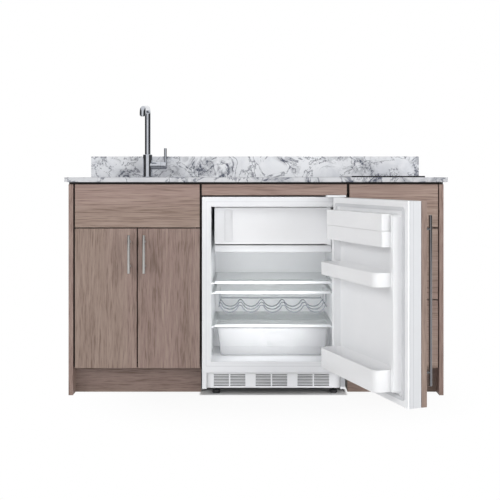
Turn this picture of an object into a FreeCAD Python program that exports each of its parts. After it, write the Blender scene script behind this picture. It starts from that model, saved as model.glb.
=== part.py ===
import FreeCAD, Part
import math
import os

# Outdoor kitchen unit: a marble worktop on a sink cabinet, a built-in refrigerator and a
# drawer cabinet under a cooktop. Millimetres, +Z up, front towards -Y, wall plane at Y = 0,
# floor at Z = 0, X = 0 midway along the unit. The refrigerator door stands open at rest.

# Worktop and its overhangs
WORKTOP_DEPTH = 635.0
WORKTOP_THICKNESS = 20.0
WORKTOP_EDGE_EASE = 1.5
FRONT_OVERHANG = 22.0
SIDE_OVERHANG = 13.3
BACKSPLASH_HEIGHT = 101.6
BACKSPLASH_THICKNESS = 20.0
SUB_DECK_THICKNESS = 9.4
SUB_DECK_SETBACK = 15.0

# Cabinets
END_PANEL_THICKNESS = 19.0
SINK_CABINET_WIDTH = 533.0
DRAWER_CABINET_WIDTH = 377.4
BOARD_THICKNESS = 18.0
BACK_THICKNESS = 6.0
RAIL_HEIGHT = 100.0
FRONT_RAIL_HEIGHT = 60.0
TIE_RAIL_HEIGHT = 80.0
TOE_HEIGHT = 114.0
TOE_RECESS = 60.0
TOE_BOARD_THICKNESS = 16.0
EDGE_EASE = 0.8
WALL_SCREW_RADIUS = 4.0
WALL_SCREW_INSET = 60.0

# Fronts
FRONT_THICKNESS = 19.0
FALSE_FRONT_HEIGHT = 181.0
LOWER_DRAWER_HEIGHT = 284.0
FRONT_GAP = 4.5
DOOR_CLEARANCE = 0.4
SINK_REVEAL_OUTER = 8.0
SINK_REVEAL_INNER = 2.0
DRAWER_REVEAL_INNER = 2.0
DRAWER_REVEAL_OUTER = 4.7
DOOR_MEETING_GAP = 5.0
STRIP_HEIGHT = 46.0
STRIP_REVEAL_LEFT = 7.1
STRIP_REVEAL_RIGHT = 9.7

# Bar handles
BAR_RADIUS = 6.0
BAR_LENGTH = 159.0
BAR_POST_SPACING = 102.0
BAR_POST_RADIUS = 4.0
BAR_STANDOFF = 35.0
BAR_EDGE_INSET = 29.0
BAR_TOP_DROP = 26.0
DRAWER_BAR_LENGTH = 192.0
DRAWER_BAR_POST_SPACING = 128.0

# Concealed hinges of the sink doors
CUP_RADIUS = 17.5
CUP_DEPTH = 11.5
CUP_WALL = 1.5
CUP_FIT = 0.05
CUP_BOARD_GAP = 1.0
CUP_END_DISTANCE = 90.0
CUP_FLANGE_THICKNESS = 1.0
CUP_FLANGE_LENGTH = 52.0
CUP_FLANGE_WIDTH = 18.0
HINGE_ARM_LENGTH = 62.0
HINGE_ARM_WIDTH = 15.0
HINGE_ARM_DEPTH = 11.0
HINGE_ARM_GAP = 0.5
HINGE_PLATE_LENGTH = 46.0
HINGE_PLATE_HEIGHT = 32.0
HINGE_PLATE_THICKNESS = 4.0

# Drawer boxes and runners
RUNNER_THICKNESS = 12.7
RUNNER_HEIGHT = 45.0
RUNNER_REAR_GAP = 94.0
RUNNER_FIT = 0.15
DRAWER_SIDE_THICKNESS = 12.0
DRAWER_BOTTOM_THICKNESS = 6.0
DRAWER_REAR_GAP = 74.0
DRAWER_BOTTOM_CLEARANCE = 22.0
DRAWER_TOP_CLEARANCE = 62.0

# Sink bowl and drain
BOWL_WIDTH = 370.0
BOWL_DEPTH = 180.0
BOWL_WALL = 1.2
BOWL_CORNER_RADIUS = 45.0
BOWL_FLOOR_EASE = 14.0
BOWL_FLANGE_WIDTH = 15.0
BOWL_FRONT_SETBACK = 100.0
BOWL_REAR_SETBACK = 195.0
DECK_CLEARANCE = 4.0
DRAIN_FLANGE_RADIUS = 56.0
DRAIN_FLANGE_THICKNESS = 1.5
DRAIN_BODY_RADIUS = 43.0
DRAIN_BORE_RADIUS = 40.0
DRAIN_BODY_DEPTH = 50.0
DRAIN_FLOOR_THICKNESS = 3.0
DRAIN_TAIL_LENGTH = 62.0
BASKET_WALL = 1.2
BASKET_FIT = 0.6
BASKET_HEIGHT = 36.0
BASKET_POST_RADIUS = 4.0
BASKET_POST_HEIGHT = 20.0
BASKET_KNOB_RADIUS = 9.0
BASKET_KNOB_HEIGHT = 6.0
BASKET_SLOT_START = 14.0
BASKET_SLOT_END = 34.0
BASKET_SLOT_WIDTH = 3.0
BASKET_SLOTS = 12
BASKET_SEAT_GAP = 0.3

# Waste trap
PIPE_RADIUS = 20.0
PIPE_WALL = 2.0
TRAP_BEND_RADIUS = 55.0
TRAP_OUTLET_BEND_RADIUS = 48.0
TRAP_DROP = 78.0
TRAP_RISE = 40.0
TRAP_NUT_RADIUS = 28.0
TRAP_NUT_HEIGHT = 24.0
TRAP_NUT_FIT = 0.2
TRAP_WALL_CLEARANCE = 6.0

# Faucet
FAUCET_OFFSET = 14.8
FAUCET_WALL_DISTANCE = 90.0
FAUCET_BODY_RADIUS = 22.5
FAUCET_BODY_HEIGHT = 109.5
FAUCET_BASE_RADIUS = 26.0
FAUCET_BASE_HEIGHT = 5.0
FAUCET_TOP_EASE = 3.0
SPOUT_RADIUS = 13.7
SPOUT_WALL = 2.0
SPOUT_HEIGHT = 345.0
SPOUT_REACH = 210.0
SPOUT_BEND_RADIUS = 24.0
SPOUT_SLOPE_DROP = 18.0
SPOUT_TIP_DROP = 30.0
SPOUT_SOCKET_DEPTH = 60.0
RUNNING_FIT = 0.05
AERATOR_RADIUS = 10.5
AERATOR_LENGTH = 12.0
ARM_RADIUS = 18.5
ARM_HEIGHT = 57.0
ARM_REACH = 62.8
CAP_LENGTH = 28.6
CAP_GAP = 0.3
CAP_SPIGOT_RADIUS = 11.0
CAP_SPIGOT_LENGTH = 14.0
CAP_END_EASE = 2.5
LEVER_RADIUS = 6.5
LEVER_OFFSET = 84.9
LEVER_TOP = 140.0
LEVER_SLOT_FIT = 0.4
LEVER_FOOT_DROP = 4.0
LEVER_FOOT_RADIUS = 6.0
LEVER_FOOT_REACH = 6.2
LEVER_AXLE_RADIUS = 2.5
LEVER_END_EASE = 1.5
SHANK_RADIUS = 16.5
SHANK_LENGTH = 78.0
SHANK_HOLE_CLEARANCE = 1.0
SHANK_NUT_RADIUS = 27.0
SHANK_NUT_HEIGHT = 9.0
SHANK_NUT_FIT = 0.2

# Cooktop
COOKTOP_WIDTH = 311.0
COOKTOP_OFFSET = 17.0
COOKTOP_SETBACK = 60.0
COOKTOP_REAR_SETBACK = 65.0
COOKTOP_GLASS_THICKNESS = 6.0
COOKTOP_CORNER_RADIUS = 6.0
COOKTOP_EDGE_EASE = 1.2
COOKTOP_LAP = 19.0
CASING_DEPTH_BELOW = 56.0
CASING_CLEARANCE = 3.0
CASING_CORNER_RADIUS = 5.0
CASING_VENT_COUNT = 9
CASING_VENT_WIDTH = 4.0
CASING_VENT_LENGTH = 26.0
CASING_VENT_PITCH = 14.0
CASING_VENT_DEPTH = 3.0

# Refrigerator cabinet
FRIDGE_WIDTH = 600.0
FRIDGE_HEIGHT = 832.0
FRIDGE_GAP_LEFT = 7.7
FRIDGE_GAP_RIGHT = 17.3
FRIDGE_GAP_TOP = 7.0
FRIDGE_GAP_REAR = 60.0
FRIDGE_CORNER_RADIUS = 3.0
FRIDGE_SKIRT_BOTTOM = 27.0
FRIDGE_WALL = 37.0
FRIDGE_ROOF = 41.0
FRIDGE_BACK_WALL = 50.0
FRIDGE_FLOOR_LEVEL = 140.0
FRIDGE_FLOOR_THICKNESS = 45.0
SKIRT_WALL = 20.0
HUMP_HEIGHT = 118.0
HUMP_DEPTH = 140.0
HUMP_SLOPE = 20.0
HUMP_WALL = 30.0
CROSS_MEMBER_DEPTH = 45.0
CROSS_MEMBER_THICKNESS = 5.0
CROSS_MEMBER_SETBACK = 28.0
COMPRESSOR_TRAY_THICKNESS = 4.0
LINER_THICKNESS = 2.5
LINER_FIT = 0.2
RIB_WIDTH = 12.0
RIB_HEIGHT = 7.0
RIB_DRAFT = 3.0
CHANNEL_HEIGHT = 34.0
CHANNEL_DEPTH = 10.0
CHANNEL_SIDE_INSET = 63.0
CHANNEL_DROP = 38.0
FOOT_RADIUS = 16.5
FOOT_HEIGHT = 14.0
FOOT_STEM_RADIUS = 5.0
FOOT_INSET_LEFT = 59.0
FOOT_INSET_RIGHT = 45.0
COMPRESSOR_RADIUS = 62.0
COMPRESSOR_HEIGHT = 150.0
COMPRESSOR_OFFSET = 60.0
COMPRESSOR_SEAM_WIDTH = 4.0
COMPRESSOR_SEAM_HEIGHT = 5.0
GROMMET_RADIUS = 9.0
GROMMET_HEIGHT = 12.0
GROMMET_SPREAD = 40.0
COMPRESSOR_FOOT_THICKNESS = 3.0

# Freezer compartment
FREEZER_INSET = 13.0
FREEZER_HEIGHT = 163.0
FREEZER_WALL = 3.5
FREEZER_SETBACK = 81.0
FREEZER_ROOF_FIT = 0.3
FREEZER_BACK_GAP = 6.0
FLAP_THICKNESS = 13.0
FLAP_FIT = 0.4
FLAP_EAR_HEIGHT = 5.0
FLAP_EAR_WIDTH = 20.0
FLAP_PIN_RADIUS = 2.5
FLAP_PIN_LENGTH = 3.5
FLAP_GRIP_INSET = 44.0
FLAP_GRIP_WIDTH = 32.0
FLAP_GRIP_MARGIN = 10.0
FLAP_GRIP_DEPTH = 8.0
FLAP_GRIP_RADIUS = 6.0
LEDGE_GAP = 3.0
LEDGE_HEIGHT = 28.0
LEDGE_LIP = 16.0
LEDGE_WALL = 2.5
LEDGE_SETBACK = 88.0

# Shelves, rack and crisper
SHELF_SETBACK = 113.0
SHELF_UPPER_SHARE = 0.5786
SHELF_LOWER_SHARE = 0.4456
CRISPER_COVER_LEVEL = 271.0
PANE_THICKNESS = 4.0
PANE_FIT = 0.4
PANE_BACK_GAP = 8.0
TRIM_HEIGHT = 11.0
TRIM_DEPTH = 12.0
TRIM_FIT = 0.15
TRIM_INSET = 6.0
WIRE_RADIUS = 2.5
RACK_SCALLOPS = 5
RACK_SIDE_MARGIN = 28.0
RACK_DEPTH_MARGIN = 17.0
RACK_BAND_RADIUS = 11.0
RACK_ROWS = 3
RACK_ROW_PITCH = 86.5
RACK_SETBACK = 119.0
RACK_HANG_SHARE = 0.4167
RACK_CLIP_WIDTH = 10.0
RACK_STOP_GAP = 84.0
RACK_WELD_GAP = 0.02
CRISPER_TOP_INSET = 17.0
CRISPER_TAPER = 12.0
CRISPER_TAPER_FRONT = 10.0
CRISPER_BACK_GAP = 5.0
CRISPER_SETBACK = 110.0
CRISPER_HEIGHT = 122.0
CRISPER_WALL = 2.5
CRISPER_RIM = 6.0
CRISPER_RIM_HEIGHT = 4.0
CRISPER_FLOOR_FIT = 0.3
CRISPER_CORNER_RADIUS = 14.0
CRISPER_GRIP_WIDTH = 150.0
CRISPER_GRIP_DEPTH = 10.0
CRISPER_GRIP_HEIGHT = 9.0

# Thermostat
STAT_WIDTH = 84.0
STAT_DEPTH = 26.0
STAT_HEIGHT = 42.0
STAT_SETBACK = 190.0
STAT_EASE = 4.0
DIAL_RADIUS = 15.0
DIAL_THICKNESS = 9.0
DIAL_GAP = 0.3
DIAL_SPINDLE_RADIUS = 3.0
DIAL_SPINDLE_LENGTH = 12.0
DIAL_LOBES = 18
DIAL_LOBE_RADIUS = 1.3

# Kick grille, below the door
GRILLE_LEVEL = 29.0
GRILLE_TOP_GAP = 2.0
GRILLE_RECESS = 10.0
GRILLE_THICKNESS = 5.0
GRILLE_SIDE_FIT = 0.3
GRILLE_MARGIN_LEFT = 29.0
GRILLE_GROUPS = 3
GRILLE_MARGIN_RIGHT = 45.4
GRILLE_GROUP_GAP = 43.0
GRILLE_DIVIDER = 6.0
GRILLE_SLOTS = 8
GRILLE_SLOT_HEIGHT = 3.6
GRILLE_SLOT_PITCH = 6.4
GRILLE_SLOT_SLANT = 2.0
GRILLE_BORDER = 8.0
GRILLE_CUT_OVERRUN = 1.0

# Refrigerator door, drawn closed and turned about its pin to the rest angle
DOOR_REST_DEGREES = 110.0
DOOR_BOTTOM = 104.0
DOOR_TOP_GAP = 1.0
PIN_EDGE_DISTANCE = 14.0
PIN_FRONT_DISTANCE = 41.0
GASKET_THICKNESS = 4.7
GASKET_SPACE = 5.0
GASKET_WIDTH = 13.0
GASKET_INSET = 22.0
DOOR_CASE_THICKNESS = 49.0
DOOR_CASE_EDGE_RADIUS = 4.0
DOOR_LINER_THICKNESS = 6.0
DOOR_PANEL_THICKNESS = 22.0
DYKE_OUTER_INSET = 7.0
DYKE_WIDTH = 24.0
DYKE_HEIGHT = 30.0
DYKE_DRAFT = 5.0
DYKE_CORNER_RADIUS = 14.0
DYKE_END_CLEARANCE = 7.0
PIN_RADIUS = 4.0
PIN_LENGTH = 16.0
PIN_BOTTOM_GAP = 2.0
BRACKET_THICKNESS = 3.0
BRACKET_GAP = 1.0
BRACKET_WIDTH = 28.0
BRACKET_LEG = 66.0
BRACKET_NOSE_RADIUS = 12.0
BRACKET_SCREW_RADIUS = 4.5
BRACKET_SCREW_HEIGHT = 2.0
BRACKET_SCREW_SPACING = 38.0
HINGE_COVER_WIDTH = 82.0
HINGE_COVER_HEIGHT = 8.0
HINGE_COVER_RADIUS = 9.0
PANEL_BAR_TOP_MARGIN = 51.5
PANEL_BAR_BOTTOM_MARGIN = 63.5
PANEL_BAR_POST_INSET = 50.0
PANEL_BAR_STANDOFF = 36.0
PANEL_BAR_EDGE_INSET = 36.0

# Door bins
BIN_FIT = 0.3
BIN_WALL = 2.5
BIN_CORNER_RADIUS = 24.0
BIN_REACH = 95.0
MIDDLE_BIN_DROP = 309.0
MIDDLE_BIN_HEIGHT = 52.0
LOWER_BIN_BOTTOM = 150.0
LOWER_BIN_HEIGHT = 80.0
DAIRY_REACH = 64.0
DAIRY_DROP = 166.0
DAIRY_BASE_HEIGHT = 56.0
DAIRY_LID_HEIGHT = 61.0
DAIRY_SEAM = 0.6
DAIRY_CORNER_RADIUS = 8.0
LID_HINGE_RADIUS = 3.0
LID_AXLE_RADIUS = 1.5
LID_EAR_THICKNESS = 4.0

OVERRUN = 5.0
BAR_SIDES = 12
SMALL_SIDES = 8
BEND_SIDES = 12
BEND_STEPS = 4
WIRE_SIDES = 4

# Places that follow from the sizes
BAY_WIDTH = FRIDGE_GAP_LEFT + FRIDGE_WIDTH + FRIDGE_GAP_RIGHT
UNIT_WIDTH = (2 * SIDE_OVERHANG + 2 * END_PANEL_THICKNESS + SINK_CABINET_WIDTH
              + BAY_WIDTH + DRAWER_CABINET_WIDTH)
LEFT = -UNIT_WIDTH / 2
RIGHT = UNIT_WIDTH / 2
SINK_LEFT = LEFT + SIDE_OVERHANG + END_PANEL_THICKNESS
SINK_RIGHT = SINK_LEFT + SINK_CABINET_WIDTH
DRAWER_LEFT = SINK_RIGHT + BAY_WIDTH
DRAWER_RIGHT = DRAWER_LEFT + DRAWER_CABINET_WIDTH
SINK_CENTRE = (SINK_LEFT + SINK_RIGHT) / 2
DRAWER_CENTRE = (DRAWER_LEFT + DRAWER_RIGHT) / 2

CARCASS_TOP = FRIDGE_HEIGHT + FRIDGE_GAP_TOP + STRIP_HEIGHT
DECK_TOP = CARCASS_TOP + SUB_DECK_THICKNESS
WORKTOP_TOP = DECK_TOP + WORKTOP_THICKNESS
FRONT_FACE = -(WORKTOP_DEPTH - FRONT_OVERHANG)
CARCASS_FRONT = FRONT_FACE + FRONT_THICKNESS
TOE_FACE = FRONT_FACE + TOE_RECESS
DOOR_TOP = CARCASS_TOP - FALSE_FRONT_HEIGHT - FRONT_GAP
LOWER_DRAWER_TOP = TOE_HEIGHT + LOWER_DRAWER_HEIGHT

DOOR_LEFT = SINK_LEFT + SINK_REVEAL_OUTER
DOOR_RIGHT = SINK_RIGHT - SINK_REVEAL_INNER
DRAWER_FRONT_LEFT = DRAWER_LEFT + DRAWER_REVEAL_INNER
DRAWER_FRONT_RIGHT = DRAWER_RIGHT - DRAWER_REVEAL_OUTER

BOWL_LEFT = SINK_CENTRE - BOWL_WIDTH / 2
BOWL_RIGHT = SINK_CENTRE + BOWL_WIDTH / 2
BOWL_FRONT = -WORKTOP_DEPTH + BOWL_FRONT_SETBACK
BOWL_BACK = -BOWL_REAR_SETBACK
BOWL_FLOOR = DECK_TOP - BOWL_DEPTH
DRAIN_Y = (BOWL_FRONT + BOWL_BACK) / 2
DRAIN_BOTTOM = BOWL_FLOOR - BOWL_WALL - DRAIN_BODY_DEPTH
TAIL_END = DRAIN_BOTTOM - DRAIN_TAIL_LENGTH
TRAP_OUTLET_LEVEL = TAIL_END - TRAP_DROP + TRAP_RISE + TRAP_OUTLET_BEND_RADIUS
CASING_LEFT = DRAWER_CENTRE - COOKTOP_OFFSET - COOKTOP_WIDTH / 2 + COOKTOP_LAP
CASING_RIGHT = DRAWER_CENTRE - COOKTOP_OFFSET + COOKTOP_WIDTH / 2 - COOKTOP_LAP
CASING_FRONT = -WORKTOP_DEPTH + COOKTOP_SETBACK + COOKTOP_LAP
CASING_BACK = -COOKTOP_REAR_SETBACK - COOKTOP_LAP

FRIDGE_LEFT = SINK_RIGHT + FRIDGE_GAP_LEFT
FRIDGE_RIGHT = FRIDGE_LEFT + FRIDGE_WIDTH
FRIDGE_BACK = -FRIDGE_GAP_REAR
CAVITY_LEFT = FRIDGE_LEFT + FRIDGE_WALL
CAVITY_RIGHT = FRIDGE_RIGHT - FRIDGE_WALL
CAVITY_TOP = FRIDGE_HEIGHT - FRIDGE_ROOF
CAVITY_BACK = FRIDGE_BACK - FRIDGE_BACK_WALL
CAVITY_CENTRE = (CAVITY_LEFT + CAVITY_RIGHT) / 2
RACK_PITCH = (CAVITY_RIGHT - CAVITY_LEFT - 2 * RACK_SIDE_MARGIN) / RACK_SCALLOPS
RACK_DEPTH = RACK_PITCH / 2 - RACK_DEPTH_MARGIN
FREEZER_TOP = CAVITY_TOP - FREEZER_ROOF_FIT
FREEZER_BOTTOM = FREEZER_TOP - FREEZER_HEIGHT
LEDGE_TOP = FREEZER_BOTTOM - FLAP_EAR_HEIGHT / 2 - LEDGE_GAP
LEDGE_BOTTOM = LEDGE_TOP - LEDGE_HEIGHT
FOOD_HEIGHT = LEDGE_BOTTOM - CRISPER_COVER_LEVEL
SHELF_UPPER_LEVEL = CRISPER_COVER_LEVEL + FOOD_HEIGHT * SHELF_UPPER_SHARE
SHELF_LOWER_LEVEL = CRISPER_COVER_LEVEL + FOOD_HEIGHT * SHELF_LOWER_SHARE
RACK_HANG = (SHELF_LOWER_LEVEL - CRISPER_COVER_LEVEL) * RACK_HANG_SHARE
CHANNEL_LEVEL = SHELF_UPPER_LEVEL - CHANNEL_DROP
STAT_LEVEL = (SHELF_UPPER_LEVEL + LEDGE_BOTTOM - STAT_HEIGHT) / 2
MIDDLE_BIN_BOTTOM = FRIDGE_HEIGHT - MIDDLE_BIN_DROP
DAIRY_BOTTOM = FRIDGE_HEIGHT - DAIRY_DROP

PIN_X = FRIDGE_RIGHT - PIN_EDGE_DISTANCE
PIN_Y = FRONT_FACE - PIN_FRONT_DISTANCE
DOOR_INNER = FRONT_FACE - GASKET_SPACE
DOOR_CASE_BACK = DOOR_INNER - DOOR_LINER_THICKNESS
DOOR_CASE_FRONT = DOOR_CASE_BACK - DOOR_CASE_THICKNESS
DOOR_PANEL_FACE = DOOR_CASE_FRONT - DOOR_PANEL_THICKNESS
DOOR_CROWN = FRIDGE_HEIGHT - DOOR_TOP_GAP
DYKE_LEFT = CAVITY_LEFT + DYKE_OUTER_INSET
DYKE_RIGHT = CAVITY_RIGHT - DYKE_OUTER_INSET
BIN_LEFT = DYKE_LEFT + DYKE_WIDTH + BIN_FIT
BIN_RIGHT = DYKE_RIGHT - DYKE_WIDTH - BIN_FIT

X_AXIS = FreeCAD.Vector(1, 0, 0)
Y_AXIS = FreeCAD.Vector(0, 1, 0)
Z_AXIS = FreeCAD.Vector(0, 0, 1)

FAUCET = FreeCAD.Vector(SINK_CENTRE - FAUCET_OFFSET, -FAUCET_WALL_DISTANCE, WORKTOP_TOP)
DRAIN = FreeCAD.Vector(SINK_CENTRE, DRAIN_Y, BOWL_FLOOR)

os.makedirs("parts", exist_ok=True)


def point(x, y, z):
    """A position in the unit's frame."""
    return FreeCAD.Vector(x, y, z)


def save(node, shapes):
    """Write one sub-part; several loose pieces of one kind go out as a group."""
    pieces = shapes if isinstance(shapes, list) else [shapes]
    shape = pieces[0] if len(pieces) == 1 else Part.makeCompound(pieces)
    shape.exportStep("parts/" + node + ".step")


def block(x0, x1, y0, y1, z0, z1):
    """A square-edged block between two corners."""
    return Part.makeBox(x1 - x0, y1 - y0, z1 - z0, point(x0, y0, z0))


def board(x0, x1, y0, y1, z0, z1, ease=EDGE_EASE):
    """A panel whose edges are eased by a small chamfer."""
    panel = block(x0, x1, y0, y1, z0, z1)
    return panel.makeChamfer(ease, panel.Edges)


def edges_along(shape, axis):
    """The straight edges of a shape that run along one axis."""
    found = []
    for edge in shape.Edges:
        ends = [vertex.Point for vertex in edge.Vertexes]
        if len(ends) == 2:
            run = ends[1] - ends[0]
            if run.Length > 0 and abs(abs(run.dot(axis)) - run.Length) < run.Length / 1000:
                found.append(edge)
    return found


def rounded(x0, x1, y0, y1, z0, z1, radius, axis=Z_AXIS):
    """A block with the edges along one axis rounded."""
    solid = block(x0, x1, y0, y1, z0, z1)
    return solid.makeFillet(radius, edges_along(solid, axis))


def rod(start, axis, radius, length):
    """A round bar from a start point along an axis."""
    return Part.makeCylinder(radius, length, start, axis)


def faceted(start, axis, radius, length, sides=BAR_SIDES):
    """A bar of many flat sides that stands for a round one."""
    first = axis.cross(Y_AXIS if abs(axis.z) > 0 else Z_AXIS).normalize()
    second = axis.cross(first)
    corners = []
    for index in range(sides):
        turn = 2 * math.pi * index / sides
        corners.append(start + first * (radius * math.cos(turn))
                       + second * (radius * math.sin(turn)))
    return prism(corners, axis, length)


def ring(start, axis, outer, inner, length):
    """A round sleeve."""
    hole = rod(start - axis * OVERRUN, axis, inner, length + 2 * OVERRUN)
    return rod(start, axis, outer, length).cut(hole)


def lathe(profile, centre, base=0.0):
    """Turn a profile of (radius, height) pairs about the vertical through centre."""
    corners = [point(centre.x + r, centre.y, base + z) for r, z in profile]
    face = Part.Face(Part.makePolygon(corners + [corners[0]]))
    return face.revolve(point(centre.x, centre.y, 0), Z_AXIS, 360)


def prism(outline, axis, length):
    """Carry a closed outline of points along an axis."""
    face = Part.Face(Part.makePolygon(outline + [outline[0]]))
    return face.extrude(axis * length)


def bar_through(stations, across, radius, sides=BEND_SIDES):
    """Faceted round bar through (centre, direction) stations that lie in one plane."""
    sections = []
    for centre, direction in stations:
        upright = direction.cross(across)
        corners = []
        for index in range(sides):
            turn = 2 * math.pi * index / sides
            corners.append(centre + across * (radius * math.cos(turn))
                           + upright * (radius * math.sin(turn)))
        sections.append(Part.makePolygon(corners + [corners[0]]))
    return Part.makeLoft(sections, True, True)


def bend_stations(centre, arm, axis, degrees):
    """Stations along an arc: arm is the start point as seen from the centre."""
    stations = []
    for step in range(BEND_STEPS + 1):
        turn = FreeCAD.Rotation(axis, degrees * step / BEND_STEPS)
        spoke = turn.multVec(arm)
        stations.append((centre + spoke, axis.cross(spoke).normalize()))
    return stations


def bent_stations(corners, bend_radii):
    """Stations along straight runs whose corners are rounded by tangent bends."""
    stations = [(corners[0], (corners[1] - corners[0]).normalize())]
    for index, bend_radius in enumerate(bend_radii):
        corner = corners[index + 1]
        to_before = (corners[index] - corner).normalize()
        to_after = (corners[index + 2] - corner).normalize()
        half = to_before.getAngle(to_after) / 2
        before = corner + to_before * (bend_radius / math.tan(half))
        centre = corner + (to_before + to_after).normalize() * (bend_radius / math.sin(half))
        arm = before - centre
        axis = arm.cross(-to_before).normalize()
        stations += bend_stations(centre, arm, axis, 180 - math.degrees(2 * half))
    last = (corners[-1] - corners[-2]).normalize()
    stations.append((corners[-1], last))
    spaced = [stations[0]]
    for station in stations[1:]:
        if (station[0] - spaced[-1][0]).Length > BAR_RADIUS / 100:
            spaced.append(station)
    return spaced


def bar_handle(middle, along, outward, length, spacing, standoff):
    """A round pull bar on two posts, seated on the face that middle lies on."""
    centre = middle + outward * standoff
    handle = faceted(centre - along * (length / 2), along, BAR_RADIUS, length)
    for side in (-1, 1):
        foot = middle + along * (side * spacing / 2)
        handle = handle.fuse(faceted(foot, outward, BAR_POST_RADIUS, standoff, SMALL_SIDES))
    return handle.removeSplitter()


def worktop():
    """Stone slab with the bowl's opening, the faucet hole and the cooktop's opening."""
    slab = board(LEFT, RIGHT, -WORKTOP_DEPTH, 0, DECK_TOP, WORKTOP_TOP, WORKTOP_EDGE_EASE)
    low = DECK_TOP - OVERRUN
    high = WORKTOP_TOP + OVERRUN
    bowl_cut = rounded(BOWL_LEFT, BOWL_RIGHT, BOWL_FRONT, BOWL_BACK, low, high, BOWL_CORNER_RADIUS)
    hob_cut = rounded(CASING_LEFT - CASING_CLEARANCE, CASING_RIGHT + CASING_CLEARANCE,
                      CASING_FRONT - CASING_CLEARANCE, CASING_BACK + CASING_CLEARANCE,
                      low, high, CASING_CORNER_RADIUS)
    hole = rod(point(FAUCET.x, FAUCET.y, low), Z_AXIS, SHANK_RADIUS + SHANK_HOLE_CLEARANCE,
               high - low)
    save("worktop", slab.cut(bowl_cut).cut(hob_cut).cut(hole))
    save("backsplash", board(LEFT, RIGHT, -BACKSPLASH_THICKNESS, 0, WORKTOP_TOP,
                             WORKTOP_TOP + BACKSPLASH_HEIGHT, WORKTOP_EDGE_EASE))
    inset = SIDE_OVERHANG + SUB_DECK_SETBACK
    deck = block(LEFT + inset, RIGHT - inset, FRONT_FACE + SUB_DECK_SETBACK, -BACK_THICKNESS,
                 CARCASS_TOP, DECK_TOP)
    reach = BOWL_FLANGE_WIDTH + DECK_CLEARANCE
    bowl_room = rounded(BOWL_LEFT - reach, BOWL_RIGHT + reach, BOWL_FRONT - reach,
                        BOWL_BACK + reach, low - SUB_DECK_THICKNESS, high, BOWL_CORNER_RADIUS)
    hob_room = block(CASING_LEFT - DECK_CLEARANCE, CASING_RIGHT + DECK_CLEARANCE,
                     CASING_FRONT - DECK_CLEARANCE, CASING_BACK + DECK_CLEARANCE,
                     low - SUB_DECK_THICKNESS, high)
    shank_room = rod(point(FAUCET.x, FAUCET.y, low - SUB_DECK_THICKNESS), Z_AXIS,
                     SHANK_RADIUS + SHANK_HOLE_CLEARANCE, high - low)
    save("sub_deck", deck.cut(bowl_room).cut(hob_room).cut(shank_room))


def carcasses():
    """Cabinet boards: notched sides, floors, backs, toe boards, rails and end panels."""
    toe_back = TOE_FACE + TOE_BOARD_THICKNESS
    sides = []
    for x0 in (SINK_LEFT, SINK_RIGHT - BOARD_THICKNESS,
               DRAWER_LEFT, DRAWER_RIGHT - BOARD_THICKNESS):
        outline = [point(x0, CARCASS_FRONT, TOE_HEIGHT), point(x0, CARCASS_FRONT, CARCASS_TOP),
                   point(x0, 0, CARCASS_TOP), point(x0, 0, 0),
                   point(x0, toe_back, 0), point(x0, toe_back, TOE_HEIGHT)]
        sides.append(prism(outline, X_AXIS, BOARD_THICKNESS))
    save("carcass_sides", sides)
    floors = []
    backs = []
    toe_boards = []
    rails = []
    waste_hole = rod(point(SINK_CENTRE, -OVERRUN - BACK_THICKNESS, TRAP_OUTLET_LEVEL), Y_AXIS,
                     PIPE_RADIUS + TRAP_WALL_CLEARANCE, BACK_THICKNESS + 2 * OVERRUN)
    for left, right in ((SINK_LEFT, SINK_RIGHT), (DRAWER_LEFT, DRAWER_RIGHT)):
        x0 = left + BOARD_THICKNESS
        x1 = right - BOARD_THICKNESS
        floor_top = TOE_HEIGHT + BOARD_THICKNESS
        floors.append(block(x0, x1, CARCASS_FRONT, 0, TOE_HEIGHT, floor_top))
        back = block(x0, x1, -BACK_THICKNESS, 0, floor_top, CARCASS_TOP - RAIL_HEIGHT)
        backs.append(back.cut(waste_hole) if left == SINK_LEFT else back)
        toe_boards.append(block(left, right, TOE_FACE, toe_back, 0, TOE_HEIGHT))
        rails.append(block(x0, x1, CARCASS_FRONT, CARCASS_FRONT + BOARD_THICKNESS,
                           CARCASS_TOP - FRONT_RAIL_HEIGHT, CARCASS_TOP))
        rails.append(block(x0, x1, -BOARD_THICKNESS, 0, CARCASS_TOP - RAIL_HEIGHT, CARCASS_TOP))
    rails.append(block(SINK_RIGHT, DRAWER_LEFT, CARCASS_FRONT, CARCASS_FRONT + BOARD_THICKNESS,
                       CARCASS_TOP - STRIP_HEIGHT, CARCASS_TOP))
    save("carcass_floors", floors)
    save("carcass_backs", backs)
    save("toe_boards", toe_boards)
    wall_rail = block(SINK_RIGHT, DRAWER_LEFT, -BOARD_THICKNESS, 0,
                      CARCASS_TOP - RAIL_HEIGHT, CARCASS_TOP)
    for x in (SINK_RIGHT + WALL_SCREW_INSET, DRAWER_LEFT - WALL_SCREW_INSET):
        start = point(x, -BOARD_THICKNESS - OVERRUN, CARCASS_TOP - RAIL_HEIGHT / 2)
        wall_rail = wall_rail.cut(rod(start, Y_AXIS, WALL_SCREW_RADIUS,
                                      BOARD_THICKNESS + 2 * OVERRUN))
    tie_rail = block(SINK_RIGHT, DRAWER_LEFT, -BOARD_THICKNESS, 0, 0, TIE_RAIL_HEIGHT)
    save("cross_rails", rails + [wall_rail, tie_rail])
    left_panel = board(SINK_LEFT - END_PANEL_THICKNESS, SINK_LEFT, FRONT_FACE, 0, 0, CARCASS_TOP)
    right_panel = board(DRAWER_RIGHT, DRAWER_RIGHT + END_PANEL_THICKNESS, FRONT_FACE, 0,
                        0, CARCASS_TOP)
    save("end_panels", [left_panel, right_panel])


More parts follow.
